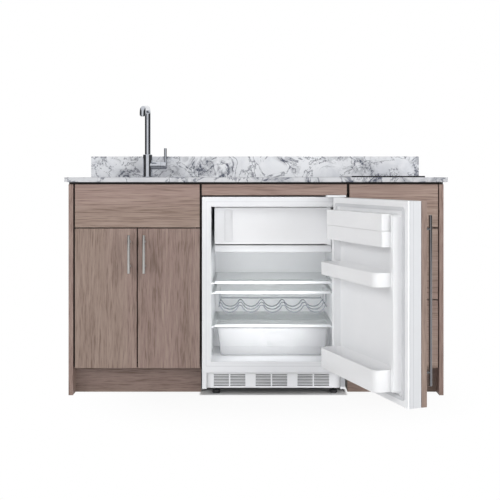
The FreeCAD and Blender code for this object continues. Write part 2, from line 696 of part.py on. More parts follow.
def false_fronts():
    """The fixed fronts over the sink and under the cooktop, and the strip over the bay."""
    face_back = CARCASS_FRONT
    low = CARCASS_TOP - FALSE_FRONT_HEIGHT
    save("sink_false_front", board(DOOR_LEFT, DOOR_RIGHT, FRONT_FACE, face_back, low, CARCASS_TOP))
    save("cooktop_front", board(DRAWER_FRONT_LEFT, DRAWER_FRONT_RIGHT, FRONT_FACE, face_back,
                                low, CARCASS_TOP))
    save("bay_strip", board(SINK_RIGHT + STRIP_REVEAL_LEFT, DRAWER_LEFT - STRIP_REVEAL_RIGHT,
                            FRONT_FACE, face_back, CARCASS_TOP - STRIP_HEIGHT, CARCASS_TOP))


def hinge_levels():
    """Heights of the two hinges on a sink door."""
    return (TOE_HEIGHT + CUP_END_DISTANCE, DOOR_TOP - CUP_END_DISTANCE)


def sink_doors():
    """Two doors with bar handles and cup hinges; the arms stay on the cabinet sides."""
    inner = CARCASS_FRONT - DOOR_CLEARANCE
    middle = (DOOR_LEFT + DOOR_RIGHT) / 2
    arms = []
    spans = (("left", DOOR_LEFT, middle - DOOR_MEETING_GAP / 2, 1, SINK_LEFT),
             ("right", middle + DOOR_MEETING_GAP / 2, DOOR_RIGHT, -1, SINK_RIGHT))
    for side, x0, x1, inward, cabinet_edge in spans:
        door = board(x0, x1, FRONT_FACE, inner, TOE_HEIGHT, DOOR_TOP)
        cup_x = cabinet_edge + inward * (BOARD_THICKNESS + CUP_BOARD_GAP + CUP_RADIUS)
        cups = []
        for level in hinge_levels():
            seat = point(cup_x, inner - CUP_DEPTH, level)
            bore_end = CUP_DEPTH + OVERRUN
            door = door.cut(rod(seat, Y_AXIS, CUP_RADIUS + CUP_FIT, bore_end))
            cup = rod(seat, Y_AXIS, CUP_RADIUS, CUP_DEPTH)
            flange = block(cup_x - CUP_FLANGE_WIDTH / 2, cup_x + CUP_FLANGE_WIDTH / 2, inner,
                           inner + CUP_FLANGE_THICKNESS, level - CUP_FLANGE_LENGTH / 2,
                           level + CUP_FLANGE_LENGTH / 2)
            well = rod(point(cup_x, inner - CUP_DEPTH + CUP_WALL, level), Y_AXIS,
                       CUP_RADIUS - CUP_WALL, CUP_DEPTH + OVERRUN)
            rim = ring(point(cup_x, inner, level), Y_AXIS, CUP_RADIUS, CUP_RADIUS - CUP_WALL,
                       CUP_FLANGE_THICKNESS)
            cups.append(cup.fuse(flange).cut(well).fuse(rim).removeSplitter())
            arms.append(hinge_arm(cabinet_edge + inward * BOARD_THICKNESS, inward, cup_x, level))
        save(side + "_sink_door", door)
        save(side + "_door_hinges", cups)
        free_edge = x1 if inward > 0 else x0
        bar_x = free_edge - inward * BAR_EDGE_INSET
        bar_middle = point(bar_x, FRONT_FACE, DOOR_TOP - BAR_TOP_DROP - BAR_LENGTH / 2)
        save(side + "_door_handle", bar_handle(bar_middle, Z_AXIS, -Y_AXIS, BAR_LENGTH,
                                               BAR_POST_SPACING, BAR_STANDOFF))
    save("hinge_arms", arms)


def hinge_arm(wall_x, inward, cup_x, level):
    """A cross plate screwed to the cabinet side with the cranked arm that reaches the cup."""
    front = CARCASS_FRONT - DOOR_CLEARANCE + CUP_FLANGE_THICKNESS + HINGE_ARM_GAP
    plate_front = front + HINGE_ARM_LENGTH - HINGE_PLATE_LENGTH
    far_x = wall_x + inward * HINGE_PLATE_THICKNESS
    plate = block(min(wall_x, far_x), max(wall_x, far_x), plate_front,
                  plate_front + HINGE_PLATE_LENGTH, level - HINGE_PLATE_HEIGHT / 2,
                  level + HINGE_PLATE_HEIGHT / 2)
    arm_x = far_x + inward * HINGE_ARM_DEPTH
    outline = [point(far_x, front + HINGE_ARM_LENGTH, 0), point(arm_x, front + HINGE_ARM_LENGTH, 0),
               point(arm_x, front + HINGE_ARM_DEPTH, 0), point(cup_x, front + HINGE_ARM_DEPTH, 0),
               point(cup_x, front, 0), point(far_x, front, 0)]
    arm = prism(outline, Z_AXIS, HINGE_ARM_WIDTH)
    arm.translate(point(0, 0, level - HINGE_ARM_WIDTH / 2))
    return plate.fuse(arm).removeSplitter()


def drawers():
    """Two drawers on side runners behind applied fronts, shown closed."""
    inner_left = DRAWER_LEFT + BOARD_THICKNESS
    inner_right = DRAWER_RIGHT - BOARD_THICKNESS
    box_left = inner_left + RUNNER_THICKNESS + RUNNER_FIT
    box_right = inner_right - RUNNER_THICKNESS - RUNNER_FIT
    middle_bottom = LOWER_DRAWER_TOP + FRONT_GAP
    stacks = (("lower", TOE_HEIGHT, LOWER_DRAWER_TOP, TOE_HEIGHT + BOARD_THICKNESS),
              ("middle", middle_bottom, DOOR_TOP, middle_bottom))
    boxes = []
    runners = []
    handles = []
    for name, bottom, top, sill in stacks:
        save(name + "_drawer_front", board(DRAWER_FRONT_LEFT, DRAWER_FRONT_RIGHT, FRONT_FACE,
                                           CARCASS_FRONT, bottom, top))
        floor = sill + DRAWER_BOTTOM_CLEARANCE
        rim = top - DRAWER_TOP_CLEARANCE
        outer = block(box_left, box_right, CARCASS_FRONT, -DRAWER_REAR_GAP,
                      floor, rim)
        room = block(box_left + DRAWER_SIDE_THICKNESS, box_right - DRAWER_SIDE_THICKNESS,
                     CARCASS_FRONT + DRAWER_SIDE_THICKNESS,
                     -DRAWER_REAR_GAP - DRAWER_SIDE_THICKNESS,
                     floor + DRAWER_BOTTOM_THICKNESS, rim + OVERRUN)
        boxes.append(outer.cut(room))
        for wall, inward in ((inner_left, 1), (inner_right, -1)):
            far = wall + inward * RUNNER_THICKNESS
            level = floor + (rim - floor) / 2
            runners.append(block(min(wall, far), max(wall, far), CARCASS_FRONT + EDGE_EASE,
                                 -RUNNER_REAR_GAP, level - RUNNER_HEIGHT / 2,
                                 level + RUNNER_HEIGHT / 2))
        pull = point((DRAWER_FRONT_LEFT + DRAWER_FRONT_RIGHT) / 2, FRONT_FACE,
                     top - BAR_TOP_DROP - BAR_STANDOFF)
        handles.append(bar_handle(pull, X_AXIS, -Y_AXIS, DRAWER_BAR_LENGTH,
                                  DRAWER_BAR_POST_SPACING, BAR_STANDOFF))
    save("drawer_boxes", boxes)
    save("drawer_runners", runners)
    save("drawer_handles", handles)


def sink():
    """Pressed bowl under the slab, its drain, the lift-out basket and the waste trap."""
    outer = rounded(BOWL_LEFT - BOWL_WALL, BOWL_RIGHT + BOWL_WALL, BOWL_FRONT - BOWL_WALL,
                    BOWL_BACK + BOWL_WALL, BOWL_FLOOR - BOWL_WALL, DECK_TOP,
                    BOWL_CORNER_RADIUS + BOWL_WALL)
    inner = rounded(BOWL_LEFT, BOWL_RIGHT, BOWL_FRONT, BOWL_BACK, BOWL_FLOOR,
                    DECK_TOP + OVERRUN, BOWL_CORNER_RADIUS)
    outer = outer.makeChamfer(BOWL_FLOOR_EASE + BOWL_WALL * (2 - math.sqrt(2)), floor_edges(outer))
    inner = inner.makeChamfer(BOWL_FLOOR_EASE, floor_edges(inner))
    reach = BOWL_FLANGE_WIDTH + BOWL_WALL
    flange = rounded(BOWL_LEFT - reach, BOWL_RIGHT + reach, BOWL_FRONT - reach, BOWL_BACK + reach,
                     DECK_TOP - BOWL_WALL, DECK_TOP, BOWL_CORNER_RADIUS)
    waste = rod(point(DRAIN.x, DRAIN.y, BOWL_FLOOR - OVERRUN), Z_AXIS, DRAIN_BODY_RADIUS,
                2 * OVERRUN)
    save("sink_bowl", outer.fuse(flange).cut(inner).cut(waste))

    floor = -BOWL_WALL - DRAIN_BODY_DEPTH
    seat = floor + DRAIN_FLOOR_THICKNESS
    tail_bore = PIPE_RADIUS - PIPE_WALL
    profile = [(tail_bore, seat), (DRAIN_BORE_RADIUS, seat),
               (DRAIN_BORE_RADIUS, DRAIN_FLANGE_THICKNESS),
               (DRAIN_FLANGE_RADIUS - DRAIN_FLANGE_THICKNESS, DRAIN_FLANGE_THICKNESS),
               (DRAIN_FLANGE_RADIUS, 0), (DRAIN_BODY_RADIUS, 0), (DRAIN_BODY_RADIUS, floor),
               (PIPE_RADIUS, floor), (PIPE_RADIUS, floor - DRAIN_TAIL_LENGTH),
               (tail_bore, floor - DRAIN_TAIL_LENGTH)]
    save("drain_body", lathe(profile, DRAIN, BOWL_FLOOR))

    rim = DRAIN_BORE_RADIUS - BASKET_FIT
    low = seat + BASKET_SEAT_GAP
    cup = [(0, low), (rim, low), (rim, low + BASKET_HEIGHT),
           (rim - BASKET_WALL, low + BASKET_HEIGHT), (rim - BASKET_WALL, low + BASKET_WALL),
           (BASKET_POST_RADIUS, low + BASKET_WALL), (BASKET_POST_RADIUS, low + BASKET_POST_HEIGHT),
           (BASKET_KNOB_RADIUS, low + BASKET_POST_HEIGHT),
           (BASKET_KNOB_RADIUS, low + BASKET_POST_HEIGHT + BASKET_KNOB_HEIGHT),
           (0, low + BASKET_POST_HEIGHT + BASKET_KNOB_HEIGHT)]
    basket = lathe(cup, DRAIN, BOWL_FLOOR)
    slot = block(DRAIN.x + BASKET_SLOT_START, DRAIN.x + BASKET_SLOT_END,
                 DRAIN.y - BASKET_SLOT_WIDTH / 2, DRAIN.y + BASKET_SLOT_WIDTH / 2,
                 BOWL_FLOOR + low - OVERRUN, BOWL_FLOOR + low + OVERRUN)
    slots = []
    for index in range(BASKET_SLOTS):
        turned = slot.copy()
        turned.rotate(DRAIN, Z_AXIS, 360 * index / BASKET_SLOTS)
        slots.append(turned)
    save("strainer_basket", basket.cut(Part.makeCompound(slots)))
    save("p_trap", waste_trap())


def floor_edges(solid):
    """The edges round the lowest face of a bowl."""
    level = solid.BoundBox.ZMin
    slack = BOWL_WALL / 100
    return [edge for edge in solid.Edges if abs(edge.BoundBox.ZMax - level) < slack]


def waste_trap():
    """U-bend, outlet bend and straight run to the wall, with two union nuts."""
    bend_radius = TRAP_BEND_RADIUS
    x = DRAIN.x
    top = point(x, DRAIN.y, TAIL_END)
    dip = TAIL_END - TRAP_DROP
    far = DRAIN.y + 2 * bend_radius
    corners = [top, point(x, DRAIN.y, dip - bend_radius), point(x, far, dip - bend_radius),
               point(x, far, TRAP_OUTLET_LEVEL), point(x, far + TRAP_OUTLET_BEND_RADIUS
                                                       + PIPE_WALL, TRAP_OUTLET_LEVEL)]
    stations = bent_stations(corners, (bend_radius, bend_radius, TRAP_OUTLET_BEND_RADIUS))
    run_start = corners[-1]
    outer, inner = [bar_through(stations, X_AXIS, radius).fuse(
        rod(run_start, Y_AXIS, radius, -run_start.y + share * OVERRUN))
                    for radius, share in ((PIPE_RADIUS, 0), (PIPE_RADIUS - PIPE_WALL, 1))]
    pipe = outer.cut(inner)
    inlet_nut = ring(point(x, DRAIN.y, TAIL_END - TRAP_NUT_HEIGHT / 2), Z_AXIS, TRAP_NUT_RADIUS,
                     PIPE_RADIUS + TRAP_NUT_FIT, TRAP_NUT_HEIGHT)
    outlet_nut = ring(point(x, far, dip), Z_AXIS, TRAP_NUT_RADIUS,
                      PIPE_RADIUS + TRAP_NUT_FIT, TRAP_NUT_HEIGHT)
    return [pipe, inlet_nut, outlet_nut]


def faucet():
    """Round body with a side arm, a swivelling square-topped spout and a tilting lever rod."""
    counter = WORKTOP_TOP
    body_top = counter + FAUCET_BODY_HEIGHT
    body = rod(FAUCET, Z_AXIS, FAUCET_BODY_RADIUS, FAUCET_BODY_HEIGHT)
    crown = [edge for edge in body.Edges if edge.BoundBox.ZMin > body_top - FAUCET_TOP_EASE]
    body = body.makeChamfer(FAUCET_TOP_EASE, crown)
    body = body.fuse(rod(FAUCET, Z_AXIS, FAUCET_BASE_RADIUS, FAUCET_BASE_HEIGHT))
    arm_start = point(FAUCET.x, FAUCET.y, counter + ARM_HEIGHT)
    body = body.fuse(rod(arm_start, X_AXIS, ARM_RADIUS, ARM_REACH))
    body = body.cut(rod(point(FAUCET.x, FAUCET.y, body_top - SPOUT_SOCKET_DEPTH), Z_AXIS,
                        SPOUT_RADIUS + RUNNING_FIT, SPOUT_SOCKET_DEPTH + OVERRUN))
    spigot_mouth = point(FAUCET.x + ARM_REACH - CAP_SPIGOT_LENGTH - CAP_GAP, FAUCET.y,
                         counter + ARM_HEIGHT)
    body = body.cut(rod(spigot_mouth, X_AXIS, CAP_SPIGOT_RADIUS + RUNNING_FIT,
                        CAP_SPIGOT_LENGTH + OVERRUN))
    save("faucet_body", body.removeSplitter())
    save("faucet_spout", spout())
    tip = spout_tip()
    save("aerator", ring(tip - Z_AXIS * (AERATOR_LENGTH / 3), Z_AXIS, AERATOR_RADIUS,
                         AERATOR_RADIUS - SPOUT_WALL, AERATOR_LENGTH))
    save("faucet_cap", faucet_cap())
    save("faucet_lever", faucet_lever())
    shank = rod(point(FAUCET.x, FAUCET.y, counter - SHANK_LENGTH), Z_AXIS, SHANK_RADIUS,
                SHANK_LENGTH)
    nut = ring(point(FAUCET.x, FAUCET.y, CARCASS_TOP - SHANK_NUT_HEIGHT), Z_AXIS,
               SHANK_NUT_RADIUS, SHANK_RADIUS + SHANK_NUT_FIT, SHANK_NUT_HEIGHT)
    save("faucet_shank", [shank, nut])


def spout_tip():
    """The centre of the spout's open end."""
    top = WORKTOP_TOP + SPOUT_HEIGHT - SPOUT_RADIUS
    return point(FAUCET.x, FAUCET.y - SPOUT_REACH + SPOUT_RADIUS,
                 top - SPOUT_SLOPE_DROP - SPOUT_TIP_DROP)


def spout():
    """Tube up from the body, forward with a slight fall, and down to the outlet."""
    top = WORKTOP_TOP + SPOUT_HEIGHT - SPOUT_RADIUS
    tip = spout_tip()
    corners = [point(FAUCET.x, FAUCET.y, WORKTOP_TOP + FAUCET_BODY_HEIGHT - SPOUT_SOCKET_DEPTH
                     + CAP_GAP),
               point(FAUCET.x, FAUCET.y, top), point(FAUCET.x, tip.y, top - SPOUT_SLOPE_DROP), tip]
    bends = (SPOUT_BEND_RADIUS, SPOUT_BEND_RADIUS)
    stations = bent_stations(corners, bends)
    tubes = [bar_through(stations, X_AXIS, radius)
             for radius in (SPOUT_RADIUS, SPOUT_RADIUS - SPOUT_WALL)]
    return tubes[0].cut(tubes[1])


def faucet_cap():
    """The turning end of the arm, with a spigot and a slot that the lever rod tilts in."""
    level = WORKTOP_TOP + ARM_HEIGHT
    start = point(FAUCET.x + ARM_REACH + CAP_GAP, FAUCET.y, level)
    cap = rod(start, X_AXIS, ARM_RADIUS, CAP_LENGTH)
    end = start.x + CAP_LENGTH
    rim = [edge for edge in cap.Edges if edge.BoundBox.XMin > end - CAP_END_EASE]
    cap = cap.makeChamfer(CAP_END_EASE, rim)
    cap = cap.fuse(rod(start - X_AXIS * CAP_SPIGOT_LENGTH, X_AXIS, CAP_SPIGOT_RADIUS,
                       CAP_SPIGOT_LENGTH))
    pivot = lever_pivot()
    half = LEVER_RADIUS + LEVER_SLOT_FIT
    slot = block(pivot.x - half, end + OVERRUN, pivot.y - half, pivot.y + half,
                 pivot.z - half, level + ARM_RADIUS + OVERRUN)
    axle_hole = rod(pivot - Y_AXIS * ARM_RADIUS, Y_AXIS, LEVER_AXLE_RADIUS + RUNNING_FIT,
                    2 * ARM_RADIUS)
    return cap.cut(slot).cut(axle_hole).removeSplitter()


def lever_pivot():
    """The centre of the lever's axle inside the cap."""
    return point(FAUCET.x + LEVER_OFFSET, FAUCET.y, WORKTOP_TOP + ARM_HEIGHT - LEVER_FOOT_DROP)


def faucet_lever():
    """Round rod with a barrel foot on a short axle."""
    pivot = lever_pivot()
    height = WORKTOP_TOP + LEVER_TOP - pivot.z
    stick = rod(pivot, Z_AXIS, LEVER_RADIUS, height)
    crown = [edge for edge in stick.Edges if edge.BoundBox.ZMin > pivot.z + height / 2]
    stick = stick.makeChamfer(LEVER_END_EASE, crown)
    foot = rod(pivot - Y_AXIS * LEVER_FOOT_REACH, Y_AXIS, LEVER_FOOT_RADIUS, 2 * LEVER_FOOT_REACH)
    reach = math.sqrt(ARM_RADIUS ** 2 - LEVER_FOOT_DROP ** 2) - LEVER_AXLE_RADIUS
    axle = rod(pivot - Y_AXIS * reach, Y_AXIS, LEVER_AXLE_RADIUS, 2 * reach)
    return stick.fuse(foot).fuse(axle).removeSplitter()


def cooktop():
    """Glass plate lapping the slab, over a pressed casing with vent slots in its sides."""
    plate = rounded(CASING_LEFT - COOKTOP_LAP, CASING_RIGHT + COOKTOP_LAP,
                    CASING_FRONT - COOKTOP_LAP, CASING_BACK + COOKTOP_LAP,
                    WORKTOP_TOP, WORKTOP_TOP + COOKTOP_GLASS_THICKNESS, COOKTOP_CORNER_RADIUS)
    rim = [edge for edge in plate.Edges
           if edge.BoundBox.ZMin > WORKTOP_TOP + COOKTOP_GLASS_THICKNESS / 2]
    save("cooktop_glass", plate.makeChamfer(COOKTOP_EDGE_EASE, rim))
    casing = rounded(CASING_LEFT, CASING_RIGHT, CASING_FRONT, CASING_BACK,
                     WORKTOP_TOP - CASING_DEPTH_BELOW, WORKTOP_TOP, CASING_CORNER_RADIUS)
    vents = []
    middle = (CASING_FRONT + CASING_BACK) / 2
    bottom = WORKTOP_TOP - CASING_DEPTH_BELOW
    for index in range(CASING_VENT_COUNT):
        y = middle + (index - (CASING_VENT_COUNT - 1) / 2) * CASING_VENT_PITCH
        x = (CASING_LEFT + CASING_RIGHT) / 2
        vents.append(block(x - CASING_VENT_LENGTH / 2, x + CASING_VENT_LENGTH / 2,
                           y - CASING_VENT_WIDTH / 2, y + CASING_VENT_WIDTH / 2,
                           bottom - OVERRUN, bottom + CASING_VENT_DEPTH))
    save("cooktop_casing", casing.cut(Part.makeCompound(vents)))


def cavity_outline(x, wall):
    """Side view of the food space, with the step over the compressor, grown by wall."""
    hump_top = FRIDGE_FLOOR_LEVEL + HUMP_HEIGHT - wall
    hump_front = CAVITY_BACK - HUMP_DEPTH + wall
    return [point(x, FRONT_FACE - OVERRUN, FRIDGE_FLOOR_LEVEL - wall),
            point(x, hump_front - HUMP_SLOPE, FRIDGE_FLOOR_LEVEL - wall),
            point(x, hump_front, hump_top),
            point(x, CAVITY_BACK + wall, hump_top),
            point(x, CAVITY_BACK + wall, CAVITY_TOP + wall),
            point(x, FRONT_FACE - OVERRUN, CAVITY_TOP + wall)]


def fridge_cabinet():
    """Foamed steel cabinet: one shell with the food space, the base duct and the rear recess."""
    outer = rounded(FRIDGE_LEFT, FRIDGE_RIGHT, FRONT_FACE, FRIDGE_BACK, FRIDGE_SKIRT_BOTTOM,
                    FRIDGE_HEIGHT, FRIDGE_CORNER_RADIUS)
    wall = LINER_THICKNESS + LINER_FIT
    room = prism(cavity_outline(CAVITY_LEFT - wall, wall), X_AXIS,
                 CAVITY_RIGHT - CAVITY_LEFT + 2 * wall)
    duct_left = FRIDGE_LEFT + SKIRT_WALL
    duct_right = FRIDGE_RIGHT - SKIRT_WALL
    duct_top = FRIDGE_FLOOR_LEVEL - FRIDGE_FLOOR_THICKNESS
    recess_top = FRIDGE_FLOOR_LEVEL + HUMP_HEIGHT - HUMP_WALL
    recess_front = CAVITY_BACK - HUMP_DEPTH + HUMP_WALL
    outline = [point(duct_left, FRONT_FACE - OVERRUN, FRIDGE_SKIRT_BOTTOM - OVERRUN),
               point(duct_left, FRONT_FACE - OVERRUN, duct_top),
               point(duct_left, recess_front - HUMP_SLOPE, duct_top),
               point(duct_left, recess_front, recess_top),
               point(duct_left, FRIDGE_BACK + OVERRUN, recess_top),
               point(duct_left, FRIDGE_BACK + OVERRUN, FRIDGE_SKIRT_BOTTOM - OVERRUN)]
    duct = prism(outline, X_AXIS, duct_right - duct_left)
    cabinet = outer.cut(room).cut(duct)
    front = FRONT_FACE + CROSS_MEMBER_SETBACK
    cabinet = cabinet.fuse(block(duct_left, duct_right, front, front + CROSS_MEMBER_DEPTH,
                                 FRIDGE_SKIRT_BOTTOM, FRIDGE_SKIRT_BOTTOM + CROSS_MEMBER_THICKNESS))
    cabinet = cabinet.fuse(block(duct_left, duct_right, recess_front, FRIDGE_BACK,
                                 FRIDGE_SKIRT_BOTTOM,
                                 FRIDGE_SKIRT_BOTTOM + COMPRESSOR_TRAY_THICKNESS))
    save("fridge_cabinet", cabinet.removeSplitter())
    feet = []
    rear = FRIDGE_BACK - CROSS_MEMBER_DEPTH
    for x in (FRIDGE_LEFT + FOOT_INSET_LEFT, FRIDGE_RIGHT - FOOT_INSET_RIGHT):
        for y in (front + CROSS_MEMBER_DEPTH / 2, rear):
            foot = faceted(point(x, y, 0), Z_AXIS, FOOT_RADIUS, FOOT_HEIGHT)
            feet.append(foot.fuse(faceted(point(x, y, 0), Z_AXIS, FOOT_STEM_RADIUS,
                                          FRIDGE_SKIRT_BOTTOM, SMALL_SIDES)))
    save("fridge_feet", feet)
    liner()
    compressor(recess_front)
    kick_grille(duct_left, duct_right, duct_top)


def shelf_levels():
    """Undersides of the two shelf panes and of the crisper's cover."""
    return (SHELF_UPPER_LEVEL, SHELF_LOWER_LEVEL, CRISPER_COVER_LEVEL)


def liner():
    """Vacuum-formed liner with drafted shelf ribs on both walls and a drip channel behind."""
    wall = LINER_THICKNESS
    shell = prism(cavity_outline(CAVITY_LEFT - wall, wall), X_AXIS,
                  CAVITY_RIGHT - CAVITY_LEFT + 2 * wall)
    shell = shell.cut(prism(cavity_outline(CAVITY_LEFT, 0), X_AXIS, CAVITY_RIGHT - CAVITY_LEFT))
    trim = block(FRIDGE_LEFT, FRIDGE_RIGHT, FRONT_FACE - 2 * OVERRUN, FRONT_FACE,
                 FRIDGE_SKIRT_BOTTOM, FRIDGE_HEIGHT)
    shell = shell.cut(trim)
    front = FRONT_FACE + SHELF_SETBACK
    for level in shelf_levels():
        for x, inward in ((CAVITY_LEFT, 1), (CAVITY_RIGHT, -1)):
            outline = [point(x, front, level), point(x + inward * RIB_WIDTH, front, level),
                       point(x + inward * RIB_WIDTH, front, level - RIB_HEIGHT + RIB_DRAFT),
                       point(x, front, level - RIB_HEIGHT)]
            shell = shell.fuse(prism(outline, Y_AXIS, CAVITY_BACK - front))
    low = CHANNEL_LEVEL
    high = CHANNEL_LEVEL + CHANNEL_HEIGHT
    start = CAVITY_LEFT + CHANNEL_SIDE_INSET
    channel = [point(start, CAVITY_BACK, low),
               point(start, CAVITY_BACK - CHANNEL_DEPTH, low + CHANNEL_DEPTH),
               point(start, CAVITY_BACK - CHANNEL_DEPTH, high), point(start, CAVITY_BACK, high)]
    width = CAVITY_RIGHT - CHANNEL_SIDE_INSET - start
    shell = shell.fuse(prism(channel, X_AXIS, width))
    save("fridge_liner", shell.removeSplitter())


def compressor(recess_front):
    """Sealed steel pot with its welded seam and foot plate, on rubber grommets."""
    tray = FRIDGE_SKIRT_BOTTOM + COMPRESSOR_TRAY_THICKNESS
    base = tray + GROMMET_HEIGHT
    centre = point(CAVITY_CENTRE + COMPRESSOR_OFFSET, (recess_front + FRIDGE_BACK) / 2, 0)
    half = COMPRESSOR_HEIGHT / 2
    foot = base + COMPRESSOR_FOOT_THICKNESS
    dome = COMPRESSOR_RADIUS / 2
    crown = []
    for step in range(BEND_STEPS + 1):
        turn = math.pi / 2 * step / BEND_STEPS
        crown.append((COMPRESSOR_RADIUS - dome * (1 - math.cos(turn)),
                      half - dome * (1 - math.sin(turn))))
    rings = [(r, half - z) for r, z in reversed(crown)] + [(r, z + half) for r, z in crown]
    sections = []
    for r, z in rings:
        corners = []
        for index in range(BEND_SIDES):
            turn = 2 * math.pi * index / BEND_SIDES
            corners.append(point(centre.x + r * math.cos(turn), centre.y + r * math.sin(turn),
                                 foot + z))
        sections.append(Part.makePolygon(corners + [corners[0]]))
    pot = Part.makeLoft(sections, True, True)
    seam_level = foot + half - COMPRESSOR_SEAM_HEIGHT / 2
    pot = pot.fuse(faceted(point(centre.x, centre.y, seam_level), Z_AXIS,
                           COMPRESSOR_RADIUS + COMPRESSOR_SEAM_WIDTH, COMPRESSOR_SEAM_HEIGHT,
                           BEND_SIDES))
    reach = GROMMET_SPREAD + GROMMET_RADIUS
    plate = rounded(centre.x - reach, centre.x + reach, centre.y - reach, centre.y + reach,
                    base, base + COMPRESSOR_FOOT_THICKNESS, GROMMET_RADIUS)
    save("compressor", pot.fuse(plate).removeSplitter())
    grommets = [faceted(point(centre.x + side * GROMMET_SPREAD, centre.y + end * GROMMET_SPREAD,
                              tray), Z_AXIS, GROMMET_RADIUS, GROMMET_HEIGHT, SMALL_SIDES)
                for side in (-1, 1) for end in (-1, 1)]
    save("compressor_grommets", grommets)


def kick_grille(duct_left, duct_right, duct_top):
    """Moulded plinth grille: groups of slanted slots, each parted by a divider."""
    left = duct_left + GRILLE_SIDE_FIT
    right = duct_right - GRILLE_SIDE_FIT
    front = FRONT_FACE + GRILLE_RECESS
    top = duct_top - GRILLE_TOP_GAP
    grille = board(left, right, front, front + GRILLE_THICKNESS, GRILLE_LEVEL, top)
    slots = []
    first = GRILLE_LEVEL + GRILLE_BORDER
    pitch = (right - left - GRILLE_MARGIN_LEFT - GRILLE_MARGIN_RIGHT
             + GRILLE_GROUP_GAP) / GRILLE_GROUPS
    half = (pitch - GRILLE_GROUP_GAP - GRILLE_DIVIDER) / 2
    near = front - GRILLE_CUT_OVERRUN
    far = front + GRILLE_THICKNESS + GRILLE_CUT_OVERRUN
    for group in range(GRILLE_GROUPS):
        start = left + GRILLE_MARGIN_LEFT + group * pitch
        for x in (start, start + half + GRILLE_DIVIDER):
            for row in range(GRILLE_SLOTS):
                low = first + row * GRILLE_SLOT_PITCH
                outline = [point(x, near, low), point(x, far, low + GRILLE_SLOT_SLANT),
                           point(x, far, low + GRILLE_SLOT_SLANT + GRILLE_SLOT_HEIGHT),
                           point(x, near, low + GRILLE_SLOT_HEIGHT)]
                slots.append(prism(outline, X_AXIS, half))
    save("kick_grille", grille.cut(Part.makeCompound(slots)))


def freezer():
    """Evaporator box under the roof, its side-hinged flap and the drip ledge below."""
    left = CAVITY_LEFT + FREEZER_INSET
    right = CAVITY_RIGHT - FREEZER_INSET
    front = FRONT_FACE + FREEZER_SETBACK
    back = CAVITY_BACK - FREEZER_BACK_GAP
    roof = FREEZER_TOP
    floor = FREEZER_BOTTOM
    box = block(left, right, front, back, floor, roof)
    room = block(left + FREEZER_WALL, right - FREEZER_WALL, front - OVERRUN, back - FREEZER_WALL,
                 floor + FREEZER_WALL, roof - FREEZER_WALL)
    box = box.cut(room)
    radius = FLAP_THICKNESS / 2
    pivot = point(right - radius, front - FLAP_FIT - radius, 0)
    flap_low = floor + FLAP_EAR_HEIGHT / 2 + FLAP_FIT
    flap_high = roof - FLAP_EAR_HEIGHT - FLAP_FIT
    ear_x = right - FLAP_EAR_WIDTH
    for low, high in ((floor - FLAP_EAR_HEIGHT / 2, floor + FLAP_EAR_HEIGHT / 2),
                      (roof - FLAP_EAR_HEIGHT, roof)):
        ear = block(ear_x, right, front - FLAP_FIT - FLAP_THICKNESS, front + FREEZER_WALL, low,
                    high)
        bore = rod(point(pivot.x, pivot.y, low - OVERRUN), Z_AXIS, FLAP_PIN_RADIUS + RUNNING_FIT,
                   high - low + 2 * OVERRUN)
        box = box.fuse(ear.cut(bore))
    save("freezer_box", box.removeSplitter())
    height = flap_high - flap_low
    flap = block(left, pivot.x, pivot.y - radius, pivot.y + radius, flap_low, flap_high)
    outer_edges = [edge for edge in flap.Edges
                   if edge.BoundBox.XMax < left + EDGE_EASE or edge.BoundBox.YMax < pivot.y]
    outer_edges = [edge for edge in outer_edges if edge.BoundBox.XMin < pivot.x - EDGE_EASE]
    flap = flap.makeChamfer(EDGE_EASE, outer_edges)
    flap = flap.fuse(rod(point(pivot.x, pivot.y, flap_low), Z_AXIS, radius, height))
    flap = flap.fuse(rod(point(pivot.x, pivot.y, flap_low - FLAP_PIN_LENGTH), Z_AXIS,
                         FLAP_PIN_RADIUS, height + 2 * FLAP_PIN_LENGTH))
    grip_left = left + FLAP_GRIP_INSET
    grip = rounded(grip_left, grip_left + FLAP_GRIP_WIDTH, pivot.y - radius - OVERRUN,
                   pivot.y - radius + FLAP_GRIP_DEPTH, flap_low + FLAP_GRIP_MARGIN,
                   flap_high - FLAP_GRIP_MARGIN, FLAP_GRIP_RADIUS, Y_AXIS)
    save("freezer_flap", flap.cut(grip).removeSplitter())
    ledge_front = FRONT_FACE + LEDGE_SETBACK
    wall = LEDGE_WALL
    outline = [point(left, ledge_front, LEDGE_TOP), point(left, ledge_front, LEDGE_BOTTOM),
               point(left, ledge_front + LEDGE_LIP, LEDGE_BOTTOM),
               point(left, back, LEDGE_BOTTOM + LEDGE_LIP / 2),
               point(left, back, LEDGE_TOP), point(left, back - wall, LEDGE_TOP),
               point(left, back - wall, LEDGE_BOTTOM + LEDGE_LIP / 2 + wall),
               point(left, ledge_front + LEDGE_LIP, LEDGE_BOTTOM + wall),
               point(left, ledge_front + wall, LEDGE_BOTTOM + wall),
               point(left, ledge_front + wall, LEDGE_TOP)]
    tray = prism(outline, X_AXIS, right - left)
    hook_top = floor
    for x in (left, right - wall):
        tray = tray.fuse(block(x, x + wall, ledge_front + wall, back - wall,
                               LEDGE_BOTTOM + LEDGE_LIP / 2 + wall, hook_top))
    save("drip_ledge", tray.removeSplitter())


